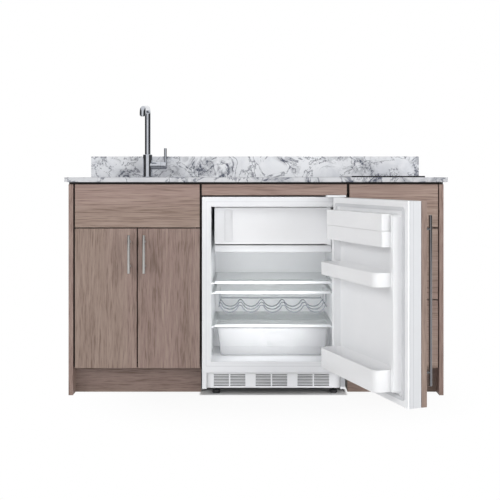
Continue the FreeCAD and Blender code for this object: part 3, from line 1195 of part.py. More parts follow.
def shelves():
    """Glass panes on the liner's ribs, each with a white front trim."""
    front = FRONT_FACE + SHELF_SETBACK
    back = CAVITY_BACK - PANE_BACK_GAP
    panes = []
    trims = []
    for level in shelf_levels():
        panes.append(block(CAVITY_LEFT + PANE_FIT, CAVITY_RIGHT - PANE_FIT, front, back,
                           level, level + PANE_THICKNESS))
        left = CAVITY_LEFT + RIB_WIDTH + PANE_FIT
        right = CAVITY_RIGHT - RIB_WIDTH - PANE_FIT
        middle = level + PANE_THICKNESS / 2
        trim = board(left, right, front - TRIM_DEPTH + TRIM_INSET, front + TRIM_INSET,
                     middle - TRIM_HEIGHT / 2, middle + TRIM_HEIGHT / 2)
        groove = block(left - OVERRUN, right + OVERRUN, front - TRIM_FIT, front + TRIM_DEPTH,
                       level - TRIM_FIT, level + PANE_THICKNESS + TRIM_FIT)
        trims.append(trim.cut(groove))
    save("shelf_panes", panes)
    save("shelf_trims", trims)


def wine_rack():
    """Scalloped cradle wires on two side rails that hang from the pane above by clips; a
    straight wire under the rails stops the bottles at the back."""
    band = RACK_BAND_RADIUS
    reach = (RACK_DEPTH ** 2 + (RACK_PITCH / 2) ** 2) / (2 * RACK_DEPTH)
    cradle = reach - band
    drop = reach - RACK_DEPTH
    rail_level = SHELF_LOWER_LEVEL - RACK_HANG
    wire_level = rail_level + 2 * WIRE_RADIUS + RACK_WELD_GAP
    peak_centre = wire_level - band
    cradle_centre = peak_centre + drop
    start = CAVITY_CENTRE - RACK_SCALLOPS * RACK_PITCH / 2
    end = CAVITY_CENTRE + RACK_SCALLOPS * RACK_PITCH / 2
    lean = math.degrees(math.atan2(drop, RACK_PITCH / 2))
    pieces = []
    sweep = 90 - lean
    for row in range(RACK_ROWS):
        y = FRONT_FACE + RACK_SETBACK + row * RACK_ROW_PITCH
        stations = bend_stations(point(start, y, peak_centre), Z_AXIS * band, Y_AXIS, sweep)
        for index in range(RACK_SCALLOPS):
            dip = point(start + (index + 1 / 2) * RACK_PITCH, y, cradle_centre)
            peak = point(start + (index + 1) * RACK_PITCH, y, peak_centre)
            arm = FreeCAD.Rotation(Y_AXIS, sweep).multVec(Z_AXIS * -cradle)
            stations += bend_stations(dip, arm, -Y_AXIS, 2 * sweep)[1:]
            rise = FreeCAD.Rotation(Y_AXIS, -sweep).multVec(Z_AXIS * band)
            whole = 2 * sweep if index + 1 < RACK_SCALLOPS else sweep
            stations += bend_stations(peak, rise, Y_AXIS, whole)[1:]
        pieces.append(bar_through(stations, Y_AXIS, WIRE_RADIUS, WIRE_SIDES))
    last_row = FRONT_FACE + RACK_SETBACK + (RACK_ROWS - 1) * RACK_ROW_PITCH
    stop_y = CAVITY_BACK - RACK_STOP_GAP
    back = stop_y + RACK_CLIP_WIDTH / 2
    front = FRONT_FACE + RACK_SETBACK - RACK_CLIP_WIDTH / 2
    for x in (start + WIRE_RADIUS, end - WIRE_RADIUS):
        rail = rod(point(x, front, rail_level), Y_AXIS, WIRE_RADIUS, back - front)
        for y in (front + 2 * RACK_CLIP_WIDTH, last_row - RACK_CLIP_WIDTH):
            rail = rail.fuse(block(x - WIRE_RADIUS / 2, x + WIRE_RADIUS / 2, y,
                                   y + RACK_CLIP_WIDTH, rail_level, SHELF_LOWER_LEVEL))
        pieces.append(rail.removeSplitter())
    stop_level = rail_level - 2 * WIRE_RADIUS - RACK_WELD_GAP
    pieces.append(rod(point(start, stop_y, stop_level), X_AXIS, WIRE_RADIUS, end - start))
    save("wine_rack", pieces)


def crisper():
    """Clear tapered bin with a rim and a finger grip, standing on the liner's floor."""
    left = CAVITY_LEFT + CRISPER_TOP_INSET
    right = CAVITY_RIGHT - CRISPER_TOP_INSET
    front = FRONT_FACE + CRISPER_SETBACK
    back = CAVITY_BACK - HUMP_DEPTH - HUMP_SLOPE - CRISPER_BACK_GAP
    low = FRIDGE_FLOOR_LEVEL + CRISPER_FLOOR_FIT
    high = low + CRISPER_HEIGHT
    rim = CRISPER_RIM
    wall = CRISPER_WALL

    def section(inset, front_inset, level, radius):
        plate = rounded(left + inset, right - inset, front + front_inset, back - front_inset,
                        level, level + rim, radius)
        return [face for face in plate.Faces if face.BoundBox.ZMax < level + rim / 2][0].OuterWire

    outer = Part.makeLoft([section(rim + CRISPER_TAPER, rim + CRISPER_TAPER_FRONT, low,
                                   CRISPER_CORNER_RADIUS),
                           section(rim, rim, high, CRISPER_CORNER_RADIUS)], True, True)
    inner = Part.makeLoft([section(rim + CRISPER_TAPER + wall, rim + CRISPER_TAPER_FRONT + wall,
                                   low + wall, CRISPER_CORNER_RADIUS - wall),
                           section(rim + wall, rim + wall, high + wall,
                                   CRISPER_CORNER_RADIUS - wall)], True, True)
    lip = rounded(left, right, front, back, high - CRISPER_RIM_HEIGHT, high,
                  CRISPER_CORNER_RADIUS)
    middle = (left + right) / 2
    grip = rounded(middle - CRISPER_GRIP_WIDTH / 2, middle + CRISPER_GRIP_WIDTH / 2,
                   front - CRISPER_GRIP_DEPTH, front + rim,
                   high - CRISPER_GRIP_HEIGHT, high, CRISPER_RIM_HEIGHT)
    drawer = outer.fuse(lip).fuse(grip).cut(inner)
    save("crisper_drawer", drawer.removeSplitter())


def thermostat():
    """Control housing on the right wall with a lobed dial on its spindle."""
    x = CAVITY_RIGHT
    y = FRONT_FACE + STAT_SETBACK
    face_x = x - STAT_DEPTH
    housing = rounded(face_x, x, y - STAT_WIDTH / 2, y + STAT_WIDTH / 2,
                      STAT_LEVEL, STAT_LEVEL + STAT_HEIGHT, STAT_EASE, X_AXIS)
    centre = point(face_x, y, STAT_LEVEL + STAT_HEIGHT / 2)
    housing = housing.cut(rod(centre - X_AXIS * OVERRUN, X_AXIS,
                              DIAL_SPINDLE_RADIUS + RUNNING_FIT,
                              OVERRUN + DIAL_SPINDLE_LENGTH + DIAL_GAP))
    save("thermostat_housing", housing)
    disc_start = centre - X_AXIS * (DIAL_GAP + DIAL_THICKNESS)
    outline = []
    for index in range(2 * DIAL_LOBES):
        turn = math.pi * index / DIAL_LOBES
        radius = DIAL_RADIUS - (index % 2) * DIAL_LOBE_RADIUS
        outline.append(disc_start + point(0, radius * math.cos(turn), radius * math.sin(turn)))
    dial = prism(outline, X_AXIS, DIAL_THICKNESS)
    dial = dial.fuse(rod(disc_start, X_AXIS, DIAL_SPINDLE_RADIUS,
                         DIAL_THICKNESS + DIAL_GAP + DIAL_SPINDLE_LENGTH))
    save("thermostat_dial", dial.removeSplitter())


def open_door(shape):
    """Turn a piece drawn with the door closed to the rest angle about the hinge pins."""
    turned = shape.copy()
    turned.rotate(point(PIN_X, PIN_Y, 0), Z_AXIS, DOOR_REST_DEGREES)
    return turned


def save_open(node, shapes):
    """Write a door piece at the rest angle."""
    pieces = shapes if isinstance(shapes, list) else [shapes]
    save(node, [open_door(piece) for piece in pieces])


def fridge_door():
    """Foamed door case with pin bores, moulded liner with dykes, gasket, panel and pull bar."""
    case = rounded(FRIDGE_LEFT, FRIDGE_RIGHT, DOOR_CASE_FRONT, DOOR_CASE_BACK, DOOR_BOTTOM,
                   DOOR_CROWN, DOOR_CASE_EDGE_RADIUS)
    pin_depth = PIN_LENGTH + PIN_BOTTOM_GAP
    for low in (DOOR_BOTTOM - OVERRUN, DOOR_CROWN - pin_depth):
        case = case.cut(rod(point(PIN_X, PIN_Y, low), Z_AXIS, PIN_RADIUS + RUNNING_FIT,
                            pin_depth + OVERRUN))
    save_open("fridge_door_case", case)
    save_open("fridge_door_liner", door_liner())
    left = FRIDGE_LEFT + GASKET_INSET
    right = FRIDGE_RIGHT - GASKET_INSET
    low = DOOR_BOTTOM + GASKET_INSET
    high = DOOR_CROWN - GASKET_INSET
    seal = rounded(left, right, DOOR_INNER, DOOR_INNER + GASKET_THICKNESS, low, high,
                   GASKET_WIDTH, Y_AXIS)
    opening = block(left + GASKET_WIDTH, right - GASKET_WIDTH, DOOR_INNER - OVERRUN,
                    DOOR_INNER + OVERRUN + GASKET_THICKNESS, low + GASKET_WIDTH,
                    high - GASKET_WIDTH)
    save_open("door_gasket", seal.cut(opening))
    save_open("door_wood_panel", board(FRIDGE_LEFT, FRIDGE_RIGHT, DOOR_PANEL_FACE,
                                       DOOR_CASE_FRONT, DOOR_BOTTOM, DOOR_CROWN))
    low = DOOR_BOTTOM + PANEL_BAR_BOTTOM_MARGIN
    length = DOOR_CROWN - PANEL_BAR_TOP_MARGIN - low
    pull = point(FRIDGE_LEFT + PANEL_BAR_EDGE_INSET, DOOR_PANEL_FACE, low + length / 2)
    save_open("door_panel_handle", bar_handle(pull, Z_AXIS, -Y_AXIS, length,
                                              length - 2 * PANEL_BAR_POST_INSET,
                                              PANEL_BAR_STANDOFF))


def door_liner():
    """Inner skin: a flat border and two raised, drafted ribs that the bins hang between."""
    plate = block(FRIDGE_LEFT, FRIDGE_RIGHT, DOOR_CASE_BACK, DOOR_INNER, DOOR_BOTTOM, DOOR_CROWN)
    low = FRIDGE_FLOOR_LEVEL + DYKE_END_CLEARANCE
    high = CAVITY_TOP - DYKE_END_CLEARANCE

    def border(inset, y, radius):
        frame = rounded(DYKE_LEFT + inset, DYKE_RIGHT - inset, y, y + DYKE_HEIGHT,
                        low + inset, high - inset, radius, Y_AXIS)
        return [face for face in frame.Faces if face.BoundBox.YMax < y + OVERRUN][0].OuterWire

    rim = Part.makeLoft([border(0, DOOR_INNER, DYKE_CORNER_RADIUS),
                         border(DYKE_DRAFT, DOOR_INNER + DYKE_HEIGHT,
                                DYKE_CORNER_RADIUS - DYKE_DRAFT)], True, True)
    well = block(DYKE_LEFT + DYKE_WIDTH, DYKE_RIGHT - DYKE_WIDTH, DOOR_INNER,
                 DOOR_INNER + DYKE_HEIGHT + OVERRUN, low - OVERRUN, high + OVERRUN)
    return plate.fuse(rim.cut(well)).removeSplitter()


def hinge_brackets():
    """Brackets with pins; the upper one is screwed to the strip above, the lower one shows
    two screws."""
    nose = PIN_Y - BRACKET_NOSE_RADIUS
    left = FRIDGE_RIGHT - BRACKET_WIDTH
    top_low = FRIDGE_HEIGHT
    upper = rounded(left, FRIDGE_RIGHT, nose, FRONT_FACE + BRACKET_LEG, top_low,
                    top_low + BRACKET_THICKNESS, BRACKET_NOSE_RADIUS)
    upper = upper.fuse(rod(point(PIN_X, PIN_Y, DOOR_CROWN - PIN_LENGTH), Z_AXIS, PIN_RADIUS,
                           top_low - DOOR_CROWN + PIN_LENGTH))
    shelf_top = DOOR_BOTTOM - BRACKET_GAP
    shelf_low = shelf_top - BRACKET_THICKNESS
    lower = rounded(left, FRIDGE_RIGHT, nose, FRONT_FACE - BRACKET_THICKNESS / 2, shelf_low,
                    shelf_top, BRACKET_NOSE_RADIUS)
    lower = block(left, FRIDGE_RIGHT, FRONT_FACE - BRACKET_WIDTH, FRONT_FACE, shelf_low,
                  shelf_top).fuse(lower)
    leg_left = FRIDGE_RIGHT - SKIRT_WALL
    lower = lower.fuse(block(leg_left, FRIDGE_RIGHT, FRONT_FACE - BRACKET_THICKNESS, FRONT_FACE,
                             shelf_top - BRACKET_LEG, shelf_top))
    lower = lower.fuse(rod(point(PIN_X, PIN_Y, shelf_low), Z_AXIS, PIN_RADIUS,
                           BRACKET_THICKNESS + BRACKET_GAP + PIN_LENGTH))
    mid = (leg_left + FRIDGE_RIGHT) / 2
    for step in (-1, 1):
        level = shelf_top - BRACKET_LEG / 2 + step * BRACKET_SCREW_SPACING / 2
        head = rod(point(mid, FRONT_FACE - BRACKET_THICKNESS - BRACKET_SCREW_HEIGHT, level),
                   Y_AXIS, BRACKET_SCREW_RADIUS, BRACKET_SCREW_HEIGHT)
        lower = lower.fuse(head)
    cover = rounded(FRIDGE_RIGHT - HINGE_COVER_WIDTH, FRIDGE_RIGHT, nose,
                    FRONT_FACE - BRACKET_GAP, top_low, top_low + HINGE_COVER_HEIGHT,
                    HINGE_COVER_RADIUS)
    upper = upper.fuse(cover)
    lug = block(left, FRIDGE_RIGHT, FRONT_FACE, CARCASS_FRONT, top_low + BRACKET_THICKNESS,
                top_low + FRIDGE_GAP_TOP)
    save("hinge_brackets", [upper.fuse(lug).removeSplitter(), lower.removeSplitter()])


def tray(bottom, height, reach, radius):
    """An open moulded bin between the door's dykes."""
    outer = block(BIN_LEFT, BIN_RIGHT, DOOR_INNER + BIN_FIT, DOOR_INNER + reach, bottom,
                  bottom + height)
    inner = block(BIN_LEFT + BIN_WALL, BIN_RIGHT - BIN_WALL, DOOR_INNER + BIN_FIT + BIN_WALL,
                  DOOR_INNER + reach - BIN_WALL, bottom + BIN_WALL, bottom + height + OVERRUN)
    shapes = []
    for solid, corner in ((outer, radius), (inner, radius - BIN_WALL)):
        uprights = [edge for edge in edges_along(solid, Z_AXIS)
                    if edge.BoundBox.YMin > DOOR_INNER + reach / 2]
        shapes.append(solid.makeFillet(corner, uprights))
    return shapes[0].cut(shapes[1])


def door_bins():
    """Open bins and the covered dairy box with its flip-up lid."""
    save_open("door_bins", [tray(MIDDLE_BIN_BOTTOM, MIDDLE_BIN_HEIGHT, BIN_REACH,
                                 BIN_CORNER_RADIUS),
                            tray(LOWER_BIN_BOTTOM, LOWER_BIN_HEIGHT, BIN_REACH,
                                 BIN_CORNER_RADIUS)])
    back = DOOR_INNER + BIN_FIT
    seam = DAIRY_BOTTOM + DAIRY_BASE_HEIGHT
    lid_top = seam + DAIRY_SEAM + DAIRY_LID_HEIGHT
    axle = point(0, back + LID_HINGE_RADIUS + BIN_WALL + BIN_FIT, lid_top - LID_HINGE_RADIUS)
    base = tray(DAIRY_BOTTOM, DAIRY_BASE_HEIGHT, DAIRY_REACH, DAIRY_CORNER_RADIUS)
    back_plate = block(BIN_LEFT, BIN_RIGHT, back, back + BIN_WALL, DAIRY_BOTTOM, lid_top)
    base = base.fuse(back_plate)
    ears = ((BIN_LEFT, BIN_LEFT + LID_EAR_THICKNESS), (BIN_RIGHT - LID_EAR_THICKNESS, BIN_RIGHT))
    for x0, x1 in ears:
        ear = block(x0, x1, back, axle.y + LID_HINGE_RADIUS, seam - LID_EAR_THICKNESS,
                    lid_top)
        bore = rod(point(x0 - OVERRUN, axle.y, axle.z), X_AXIS, LID_AXLE_RADIUS + RUNNING_FIT,
                   LID_EAR_THICKNESS + 2 * OVERRUN)
        base = base.fuse(ear).cut(bore)
    save_open("dairy_box", base.removeSplitter())
    left = BIN_LEFT + LID_EAR_THICKNESS + BIN_FIT
    right = BIN_RIGHT - LID_EAR_THICKNESS - BIN_FIT
    face = DOOR_INNER + DAIRY_REACH
    low = seam + DAIRY_SEAM
    outline = [point(left, axle.y, lid_top), point(left, face, lid_top), point(left, face, low),
               point(left, face - BIN_WALL, low),
               point(left, face - BIN_WALL, lid_top - BIN_WALL),
               point(left, axle.y, lid_top - BIN_WALL)]
    lid = prism(outline, X_AXIS, right - left)
    lid = lid.fuse(rod(point(left, axle.y, axle.z), X_AXIS, LID_HINGE_RADIUS, right - left))
    for x in (left, right - BIN_WALL):
        lid = lid.fuse(block(x, x + BIN_WALL, axle.y, face, low, lid_top))
    lid = lid.fuse(rod(point(BIN_LEFT, axle.y, axle.z), X_AXIS, LID_AXLE_RADIUS,
                       BIN_RIGHT - BIN_LEFT))
    save_open("dairy_lid", lid.removeSplitter())


worktop()
carcasses()
false_fronts()
sink_doors()
drawers()
sink()
faucet()
cooktop()
fridge_cabinet()
freezer()
shelves()
wine_rack()
crisper()
thermostat()
fridge_door()
hinge_brackets()
door_bins()
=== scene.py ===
import math
import bpy
import numpy as np
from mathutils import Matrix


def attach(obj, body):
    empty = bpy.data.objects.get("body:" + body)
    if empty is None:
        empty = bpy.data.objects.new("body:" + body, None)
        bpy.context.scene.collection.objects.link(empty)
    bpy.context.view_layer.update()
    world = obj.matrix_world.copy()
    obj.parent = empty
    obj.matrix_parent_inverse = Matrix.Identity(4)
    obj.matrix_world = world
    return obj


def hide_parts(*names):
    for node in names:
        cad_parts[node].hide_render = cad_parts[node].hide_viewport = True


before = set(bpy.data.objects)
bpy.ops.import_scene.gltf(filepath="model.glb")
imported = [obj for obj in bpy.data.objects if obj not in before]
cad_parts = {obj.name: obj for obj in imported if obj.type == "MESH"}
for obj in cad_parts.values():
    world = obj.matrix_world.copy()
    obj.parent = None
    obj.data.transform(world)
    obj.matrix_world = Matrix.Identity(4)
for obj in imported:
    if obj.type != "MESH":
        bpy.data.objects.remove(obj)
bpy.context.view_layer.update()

# View: the camera stands at counter height, so the worktop shows edge on, and looks straight
# at the wall; its shift frames the unit as in the photograph.
EYE = (-0.0296, -4.227, 0.9144)
FOCAL_MM = 62.04
FILM_MM = 36.0
FRAME_SHIFT = (0.002, -0.1454)
FAR_END = 60.0

camera_data = bpy.data.cameras.new("studio_camera")
camera_data.lens = FOCAL_MM
camera_data.sensor_width = FILM_MM
camera_data.shift_x, camera_data.shift_y = FRAME_SHIFT
camera_data.clip_end = FAR_END
camera = bpy.data.objects.new("studio_camera", camera_data)
camera.location = EYE
camera.rotation_euler = (math.pi / 2, 0.0, 0.0)
bpy.context.scene.collection.objects.link(camera)
bpy.context.scene.camera = camera
bpy.context.scene.view_settings.view_transform = "Standard"

# Studio: a white floor that keeps the unit's soft shadow, dark only under the raised
# refrigerator, a white surround and soft lamps that mirrors don't see. What mirrors see are
# dark flags at both sides, which give bare metal its stripes.
WHITE = (1.0, 1.0, 1.0, 1.0)
WORLD_LIGHT = 0.48
FLAG_SIDE = (0.45, 0.65)
FLAG_RISE = (0.80, 0.55)
FLAG_TONE = 0.06
FLOOR_SIZE = 60.0
FLOOR_GREY = (0.85, 0.85, 0.85, 1.0)
BAY_CENTRE = (0.073, -0.30, 0.0)
BAY_HALF = (0.304, 0.302, 1.0)
UNDER_FADE = (0.0, 0.012, 0.0, 0.90)
FLOOR_FADE = (0.04, 0.60, 0.0, 0.10)
LAMP_TARGET = (0.0, -0.3, 0.5)
LAMPS = (
    ("key", (-5.5, -5.0, 3.6), (3.4, 2.6), 172.0),
    ("fill", (5.2, -5.4, 1.7), (3.6, 2.6), 183.0),
    ("low", (-0.4, -6.8, 0.7), (3.6, 1.0), 50.0),
    ("side", (3.2, -1.6, 1.3), (1.2, 1.2), 21.0),
    ("rear", (-1.6, 4.6, 2.6), (2.4, 1.8), 40.0),
)


def node(tree, kind, **sockets):
    """Add a shader node; sockets are set by their name with _ for a space."""
    made = tree.nodes.new(kind)
    for name, value in sockets.items():
        made.inputs[name.replace("_", " ")].default_value = value
    return made


def feed(tree, socket, value):
    """Set a socket to a constant or link an output to it."""
    if isinstance(value, (int, float, tuple)):
        socket.default_value = value
    else:
        tree.links.new(value, socket)


def maths(tree, operation, first, second=0.0):
    """One Math node; each operand is a number or an output."""
    made = node(tree, "ShaderNodeMath")
    made.operation = operation
    feed(tree, made.inputs[0], first)
    feed(tree, made.inputs[1], second)
    return made.outputs[0]


def vector_maths(tree, operation, first, second=(0.0, 0.0, 0.0)):
    """One Vector Math node; gives its number where the operation has one, else its vector."""
    made = node(tree, "ShaderNodeVectorMath")
    made.operation = operation
    feed(tree, made.inputs[0], first)
    feed(tree, made.inputs[1], second)
    return made.outputs["Value" if operation in ("LENGTH", "DISTANCE", "DOT_PRODUCT")
                        else "Vector"]


def split(tree, place):
    """The X, Y and Z of a place."""
    apart = node(tree, "ShaderNodeSeparateXYZ")
    tree.links.new(place, apart.inputs[0])
    return apart.outputs


def span(tree, value, low, high, to_low=0.0, to_high=1.0):
    """Smoothly carry a value's range low..high to another range, held at its ends."""
    made = node(tree, "ShaderNodeMapRange")
    made.interpolation_type = "SMOOTHSTEP"
    for socket, number in zip(made.inputs, (value, low, high, to_low, to_high)):
        feed(tree, socket, number)
    return made.outputs[0]


def seen_directly(tree):
    """One where the camera, a mirror or a pane looks at a surface, zero for its light."""
    path = node(tree, "ShaderNodeLightPath").outputs
    seen = maths(tree, "MAXIMUM", path["Is Camera Ray"], path["Is Glossy Ray"])
    return maths(tree, "MAXIMUM", seen, path["Is Transmission Ray"])


def mix_into(tree, output, share, first, second):
    """Mix two shader nodes by a share and link the mix to an output node."""
    mix = node(tree, "ShaderNodeMixShader")
    for socket, source in zip(mix.inputs, (share, first.outputs[0], second.outputs[0])):
        tree.links.new(source, socket)
    tree.links.new(mix.outputs[0], node(tree, output).inputs[0])


world = bpy.data.worlds.new("studio")
bpy.context.scene.world = world
world.use_nodes = True
sky = world.node_tree
sky.nodes.clear()
light_sky = node(sky, "ShaderNodeBackground", Color=WHITE, Strength=WORLD_LIGHT)
white_sky = node(sky, "ShaderNodeBackground", Color=WHITE)
sky_way = split(sky, vector_maths(sky, "ABSOLUTE",
                                  node(sky, "ShaderNodeTexCoord").outputs["Generated"]))
flag = maths(sky, "MULTIPLY", span(sky, sky_way[0], *FLAG_SIDE), span(sky, sky_way[2], *FLAG_RISE))
flag = maths(sky, "MULTIPLY", flag, node(sky, "ShaderNodeLightPath").outputs["Is Glossy Ray"])
feed(sky, white_sky.inputs["Strength"],
     maths(sky, "SUBTRACT", 1.0, maths(sky, "MULTIPLY", flag, 1.0 - FLAG_TONE)))
mix_into(sky, "ShaderNodeOutputWorld", seen_directly(sky), light_sky, white_sky)

floor_paint = bpy.data.materials.new("studio_floor")
floor_paint.use_nodes = True
ground = floor_paint.node_tree
ground.nodes.clear()
ground_off = vector_maths(ground, "SUBTRACT", node(ground, "ShaderNodeTexCoord").outputs["Object"],
                          BAY_CENTRE)
ground_past = vector_maths(ground, "SUBTRACT", vector_maths(ground, "ABSOLUTE", ground_off),
                           BAY_HALF)
ground_far = vector_maths(ground, "LENGTH", vector_maths(ground, "MAXIMUM", ground_past))
ground_white = maths(ground, "ADD", span(ground, ground_far, *UNDER_FADE),
                     span(ground, ground_far, *FLOOR_FADE))
mix_into(ground, "ShaderNodeOutputMaterial",
         maths(ground, "MULTIPLY", ground_white, seen_directly(ground)),
         node(ground, "ShaderNodeBsdfDiffuse", Color=FLOOR_GREY),
         node(ground, "ShaderNodeEmission", Color=WHITE, Strength=1.0))

floor_mesh = bpy.data.meshes.new("studio_floor")
floor_mesh.from_pydata([(x * FLOOR_SIZE / 2, y * FLOOR_SIZE / 2, 0.0)
                        for x, y in ((-1, -1), (1, -1), (1, 1), (-1, 1))], [], [(0, 1, 2, 3)])
floor = bpy.data.objects.new("studio_floor", floor_mesh)
floor_mesh.materials.append(floor_paint)
bpy.context.scene.collection.objects.link(floor)


def soft_lamp(name, place, size, watts, target, spread=180.0):
    """A rectangular area lamp that faces a target; spread is its cone in degrees."""
    lamp_data = bpy.data.lights.new("lamp_" + name, "AREA")
    lamp_data.shape = "RECTANGLE"
    lamp_data.size, lamp_data.size_y = size
    lamp_data.energy = watts
    lamp_data.spread = math.radians(spread)
    lamp = bpy.data.objects.new("lamp_" + name, lamp_data)
    lamp.location = place
    lamp.visible_glossy = False
    aim = np.array(target) - np.array(place)
    lamp.rotation_euler = (math.atan2(math.hypot(aim[0], aim[1]), -aim[2]), 0.0,
                           math.atan2(aim[1], aim[0]) - math.pi / 2)
    bpy.context.scene.collection.objects.link(lamp)


for studio_lamp in LAMPS:
    soft_lamp(*studio_lamp, LAMP_TARGET)

# Worktop and upstand: pale polished stone, white to grey-blue, crossed by a web of fine dark
# veins that thicken into smoky knots. The slab's front edge is eased and polished too.
STONE_BASE = (0.80, 0.81, 0.835)
STONE_CLOUD = (0.50, 0.52, 0.57)
STONE_VEIN = (0.075, 0.085, 0.12, 1)
STONE_TURN = (0.2, 0.35, 0.1)
KNOT_FADE = (0.46, 0.68)
HAZE_FADE = (0.38, 0.72)
WEB = (0.62, 0.020, 6.0, 1.1)
THREADS = (1.5, 0.030, 5.0, 1.6)
SMOKE = (0.8, 0.10, 7.0, 1.5)
VEIN_SHARES = (0.75, 0.8, 0.55)
NOISE_BAND = (0.3, 0.7)
SKIN_DEPTH = 0.00003


def effect(name, inputs, outputs):
    """An empty shader group whose sockets are floats (f) or vectors (v); returns the group,
    its input node and its output node."""
    kinds = {"f": "NodeSocketFloat", "v": "NodeSocketVector"}
    group = bpy.data.node_groups.new(name, "ShaderNodeTree")
    for label, kind, value in inputs:
        socket = group.interface.new_socket(label, in_out="INPUT", socket_type=kinds[kind])
        if value is not None:
            socket.default_value = value
    for label, kind in outputs:
        group.interface.new_socket(label, in_out="OUTPUT", socket_type=kinds[kind])
    return group, node(group, "NodeGroupInput"), node(group, "NodeGroupOutput")


def blend_colours(tree, share, first, second):
    """Mix two colours, each a tuple or an output, by a share."""
    made = tree.nodes.new("ShaderNodeMix")
    made.data_type = "RGBA"
    for index, value in ((0, share), (6, first), (7, second)):
        feed(tree, made.inputs[index], value)
    return made.outputs[2]


def noise(tree, place, scale, detail=2.0, roughness=0.5, distortion=0.0):
    """Noise value at a place that is already stretched to the pattern's shape."""
    made = node(tree, "ShaderNodeTexNoise", Scale=scale, Detail=detail, Roughness=roughness,
                Distortion=distortion)
    tree.links.new(place, made.inputs["Vector"])
    return made.outputs["Fac"]


def stretched(tree, scale=(1.0, 1.0, 1.0), turn=(0.0, 0.0, 0.0), shift=(0.0, 0.0, 0.0)):
    """Object coordinates, moved, turned and scaled along each axis, in cells to the metre."""
    place = node(tree, "ShaderNodeTexCoord")
    mapping = node(tree, "ShaderNodeMapping", Location=shift, Rotation=turn, Scale=scale)
    tree.links.new(place.outputs["Object"], mapping.inputs["Vector"])
    return mapping.outputs["Vector"]


def material(name, **sockets):
    """A material with one Principled shader; returns it, its tree and the shader."""
    made = bpy.data.materials.new(name)
    made.use_nodes = True
    shader = made.node_tree.nodes["Principled BSDF"]
    for label, value in sockets.items():
        shader.inputs[label.replace("_", " ")].default_value = value
    return made, made.node_tree, shader


def coat(tree, shader, colour, rough=None, height=None, depth=SKIN_DEPTH, strength=0.5):
    """Give a shader its colour and, where wanted, its roughness and a bump, which is a height
    of 0 to 1 times a depth in metres."""
    feed(tree, shader.inputs["Base Color"], colour)
    if rough is not None:
        feed(tree, shader.inputs["Roughness"], rough)
    if height is not None:
        bump = node(tree, "ShaderNodeBump", Strength=strength, Distance=depth)
        tree.links.new(height, bump.inputs["Height"])
        tree.links.new(bump.outputs["Normal"], shader.inputs["Normal"])


def pattern(tree, group, place, **values):
    """Use a shader group at a place; returns its outputs."""
    made = tree.nodes.new("ShaderNodeGroup")
    made.node_tree = group
    for label, value in values.items():
        made.inputs[label].default_value = value
    tree.links.new(place, made.inputs["Vector"])
    return made.outputs


def shaded(colours, shade):
    """Colours made darker or lighter by one factor."""
    return [tuple(part * shade for part in colour) + (1,) for colour in colours]


def dress(names, surface):
    """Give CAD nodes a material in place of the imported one."""
    for name in names.split():
        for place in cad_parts[name].material_slots:
            place.material = surface


vein_group, vein_in, vein_out = effect(
    "stone_veins", (("Vector", "v", None), ("Cloud", "f", 0.52), ("Vein", "f", 1.0)),
    (("Cloud", "f"), ("Vein", "f")))


def weighted(tree, values, shares):
    """The sum of some values, each times its share."""
    total = 0.0
    for value, share in zip(values, shares):
        total = maths(tree, "ADD", total, maths(tree, "MULTIPLY", value, share))
    return total


def ridge(tree, place, scale, width, detail, distortion):
    """A line wherever smooth noise crosses its middle value, as thin as width."""
    value = noise(tree, place, scale, detail, 0.62, distortion)
    off = maths(tree, "ABSOLUTE", maths(tree, "SUBTRACT", value, 0.5))
    return span(tree, off, 0.0, width, 1.0, 0.0)


vein_place = vein_in.outputs["Vector"]
knots = span(vein_group, noise(vein_group, vein_place, 0.75, 3.0, 0.6, 0.8), *KNOT_FADE)
web = ridge(vein_group, vein_place, *WEB)
threads, smoke = (maths(vein_group, "MULTIPLY", ridge(vein_group, vein_place, *kind), knots)
                  for kind in (THREADS, SMOKE))
vein_all = weighted(vein_group, (web, threads, smoke), VEIN_SHARES)
haze = span(vein_group, noise(vein_group, vein_place, 0.5, 5.0, 0.65, 0.6), *HAZE_FADE)
for label, mask in (("Vein", maths(vein_group, "MINIMUM", vein_all, 1.0)), ("Cloud", haze)):
    vein_group.links.new(maths(vein_group, "MULTIPLY", mask, vein_in.outputs[label]),
                         vein_out.inputs[label])


def stone(name, cells, shift, shade=1.0):
    """Polished veined stone; cells sets how many knots lie along a metre."""
    made, tree, shader = material(name, Specular_IOR_Level=0.35)
    veins = pattern(tree, vein_group, stretched(tree, (cells, cells, cells), STONE_TURN, shift))
    pale = blend_colours(tree, veins["Cloud"], *shaded((STONE_BASE, STONE_CLOUD), shade))
    coat(tree, shader, blend_colours(tree, veins["Vein"], pale, STONE_VEIN),
         span(tree, veins["Vein"], 0.0, 1.0, 0.30, 0.40))
    return made


dress("backsplash", stone("upstand_stone", 9.0, (3.1, 0.4, 1.7)))
# Painted shade: the slab is the upstand's stone made darker, for the shade on its front edge.
dress("worktop", stone("slab_stone", 8.0, (5.3, 0.9, 2.2), 0.74))

# Cabinet boards: pressed board faced with a textured wood-grain laminate in a grey brown.
# The grain runs up the doors and end panels and along the fixed and drawer fronts; the
# carcass inside is plain pale board with front edges painted near black as painted shade.
LAMINATE_MID = (0.292, 0.217, 0.181)
LAMINATE_LIGHT = (0.385, 0.295, 0.250)
LAMINATE_DARK = (0.180, 0.124, 0.101)
LAMINATE_ROSY = (0.290, 0.207, 0.182)
BAND_CELLS = 17.0
FIBRE_CELLS = 250.0
GRAIN_STRETCH = 0.060
TONE_SHARES = (0.20, 0.30, 0.50)
TONE_FADE = (0.32, 0.68)
DRIFT_FADE = (0.42, 0.60)
PORE_FADE = (0.52, 0.68)
PORE_SHARE = 0.30
PORE_DEPTH = 0.00025

